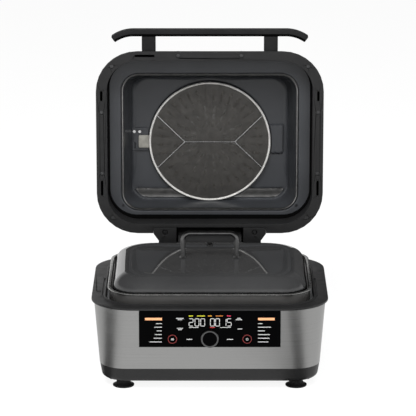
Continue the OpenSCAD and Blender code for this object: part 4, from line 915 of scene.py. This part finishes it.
def ease_node(name, thing):
    """Eases the edges and the shading of a node by modifiers. Its own mesh keeps its vertices."""
    mesh = thing.data
    if "custom_normal" in mesh.attributes:
        mesh.attributes.remove(mesh.attributes["custom_normal"])
    mesh.shade_smooth()
    weld = thing.modifiers.new("weld", "WELD")
    weld.merge_threshold = WELD_GAP
    if name in BEVELS:
        bevel = thing.modifiers.new("edges", "BEVEL")
        bevel.width = BEVELS[name]
        bevel.segments = BEVEL_STEPS
        bevel.limit_method = "ANGLE"
        bevel.angle_limit = BEVEL_FROM
        bevel.use_clamp_overlap = False
    split = thing.modifiers.new("creases", "EDGE_SPLIT")
    split.split_angle = CREASE
    thing.modifiers.new("normals", "WEIGHTED_NORMAL")


def finish_nodes():
    for name, thing in nodes.items():
        if thing.hide_render:
            continue
        slot = thing.data.materials[0].name.split(".")[0]
        thing.data.materials.clear()
        thing.data.materials.append(FINISH[OWN_FINISH.get(name, slot)])
        ease_node(name, thing)


# Camera, fitted to the photograph

CAMERA_RISE = math.radians(14.367)
CAMERA_FAR = 5.0004
CAMERA_AIM_Z = 0.28381
PHOTO_SIZE = 416
FOCUS_PX = 2839.5
MIDDLE_PX = 209.8
SENSOR_MM = 36
SEE_AS_FAR_AS = 100


def turn_towards(direction):
    return direction.to_track_quat("-Z", "Y").to_euler()


def place_camera():
    data = bpy.data.cameras.new("camera")
    camera = bpy.data.objects.new("camera", data)
    bpy.context.scene.collection.objects.link(camera)
    aim = Vector((0, BASE_MID_Y, CAMERA_AIM_Z))
    back = Vector((0, -math.cos(CAMERA_RISE), math.sin(CAMERA_RISE)))
    camera.location = aim + back * CAMERA_FAR
    camera.rotation_euler = turn_towards(-back)
    data.sensor_width = SENSOR_MM
    data.lens = FOCUS_PX * SENSOR_MM / PHOTO_SIZE
    data.shift_x = (PHOTO_SIZE / 2 - MIDDLE_PX) / PHOTO_SIZE
    data.clip_end = SEE_AS_FAR_AS
    bpy.context.scene.camera = camera


# Light and floor

WHITE = (1, 1, 1, 1)
ROOM_LIGHT = 0.26
FLOOR_HALF = 12.0
FLOOR_PAPER = (0.55, 0.55, 0.55, 1)
FLOOR_GLOW, FLOOR_GLOW_SHARE = 1.2, 0.75
CARD_BLACK = (0.05, 0.05, 0.05, 1)
MATT = 0.9

# Cards on the floor at the steel's front corners: name, side, first and last turn in degrees

CORNER_CARDS = (("card_left", -1, 50, 88), ("card_right", 1, 6, 44))


def softbox(name, place, aim, wide, tall, power):
    data = bpy.data.lights.new(name, "AREA")
    data.shape = "RECTANGLE"
    data.size = wide
    data.size_y = tall
    data.energy = power
    lamp = bpy.data.objects.new(name, data)
    lamp.location = place
    lamp.rotation_euler = turn_towards(Vector(aim) - Vector(place))
    lamp.visible_glossy = False
    bpy.context.scene.collection.objects.link(lamp)


def see_background(tree):
    """Share of rays that see the white background: from the camera, a mirror or glass."""
    path = tree.nodes.new("ShaderNodeLightPath")
    last = path.outputs["Is Camera Ray"]
    for kind in ("Is Glossy Ray", "Is Transmission Ray"):
        most = tree.nodes.new("ShaderNodeMath")
        most.operation = "MAXIMUM"
        tree.links.new(last, most.inputs[0])
        tree.links.new(path.outputs[kind], most.inputs[1])
        last = most.outputs["Value"]
    return last


def blend(tree, share, plain, bright, end):
    """Ends a node tree with a share of a bright shader over a plain one."""
    choose = tree.nodes.new("ShaderNodeMixShader")
    tree.links.new(share, choose.inputs["Fac"])
    tree.links.new(plain, choose.inputs[1])
    tree.links.new(bright, choose.inputs[2])
    tree.links.new(choose.outputs["Shader"], tree.nodes[end].inputs["Surface"])


def light_room():
    """Even room light, a white background that darkens overhead, and three softboxes."""
    world = bpy.data.worlds.new("studio")
    bpy.context.scene.world = world
    world.use_nodes = True
    tree = world.node_tree
    room = put(tree.nodes["Background"], Color=WHITE, Strength=ROOM_LIGHT)
    white = put(tree.nodes.new("ShaderNodeBackground"), Color=WHITE)
    places = tree.nodes.new("ShaderNodeTexCoord")
    height = tree.nodes.new("ShaderNodeSeparateXYZ")
    fade = put(tree.nodes.new("ShaderNodeMapRange"), From_Min=0.25, From_Max=0.5, To_Min=1.06, To_Max=0.06)
    tree.links.new(places.outputs["Generated"], height.inputs["Vector"])
    tree.links.new(height.outputs["Z"], fade.inputs["Value"])
    tree.links.new(fade.outputs["Result"], white.inputs["Strength"])
    shaders = room.outputs["Background"], white.outputs["Background"]
    blend(tree, see_background(tree), *shaders, "World Output")
    softbox("key_light", place=(-0.7, -2.0, 2.7), aim=(0, 0, 0.3), wide=1.4, tall=1.2, power=85)
    softbox("fill_light", place=(0.8, -2.6, 1.7), aim=(0, 0, 0.25), wide=1.2, tall=1.2, power=50)
    softbox("top_light", place=(0, -1.6, 2.8), aim=(0, 0, 0.2), wide=2.4, tall=1.2, power=80)


def lay_floor():
    """Pale floor that glows towards the camera, mirrors and glass, and keeps some of its shadow there."""
    corners = [(sx * FLOOR_HALF, sy * FLOOR_HALF, 0) for sx, sy in ((-1, -1), (1, -1), (1, 1), (-1, 1))]
    floor = make("floor", (corners, [(0, 1, 2, 3)]))
    paper = Shader("floor_paper")
    put(paper.main, Base_Color=FLOOR_PAPER, Roughness=MATT, Specular_IOR_Level=0.0)
    glow = paper.add("ShaderNodeEmission", Color=WHITE, Strength=FLOOR_GLOW)
    share = paper.add("ShaderNodeMath")
    share.operation = "MULTIPLY"
    share.inputs[1].default_value = FLOOR_GLOW_SHARE
    paper.link(see_background(paper.tree), share.inputs[0])
    shaders = paper.main.outputs["BSDF"], glow.outputs["Emission"]
    blend(paper.tree, share.outputs["Value"], *shaders, "Material Output")
    floor.data.materials.append(paper.material)


def lay_card(name, paint, corners, faces):
    thing = make(name, (corners, faces))
    thing.data.materials.append(paint)
    thing.visible_camera = False
    thing.visible_diffuse = False
    thing.visible_transmission = False
    thing.visible_shadow = False


def lay_cards():
    """Dark cards that only mirrors see: in the steel's two front corners and the glass's right shoulder."""
    card = Shader("dark_card")
    put(card.main, Base_Color=CARD_BLACK, Roughness=MATT)
    inner, outer, lift, steps = 0.04, 1.1, 0.002, 12
    from_corner = 0.006
    corner_x = wrap_high.x - BODY_R - from_corner
    corner_y = wrap_low.y + BODY_R
    count = steps + 1
    faces = [(k, k + 1, count + k + 1, count + k) for k in range(steps)]
    for name, side, first, last in CORNER_CARDS:
        turns = [mix(first, last, k / steps) for k in range(count)]
        corners = [(side * (corner_x + r * sind(a)), corner_y - r * cosd(a), lift)
                   for r in (inner, outer) for a in turns]
        lay_card(name, card.material, corners, faces)
    lay_card("card_back", card.material, facing(x0=0.2, x1=1.2, y=0.4, z0=0, z1=0.7), [(0, 1, 2, 3)])


place_camera()
light_room()
lay_floor()
lay_cards()
bpy.context.scene.view_settings.view_transform = "Standard"

build_liner()
build_shell()
build_filter_net()
build_hoop()
build_handle()
build_wrap()
build_pane()
build_pot()
build_bead()
build_marks()
build_signs()
finish_nodes()
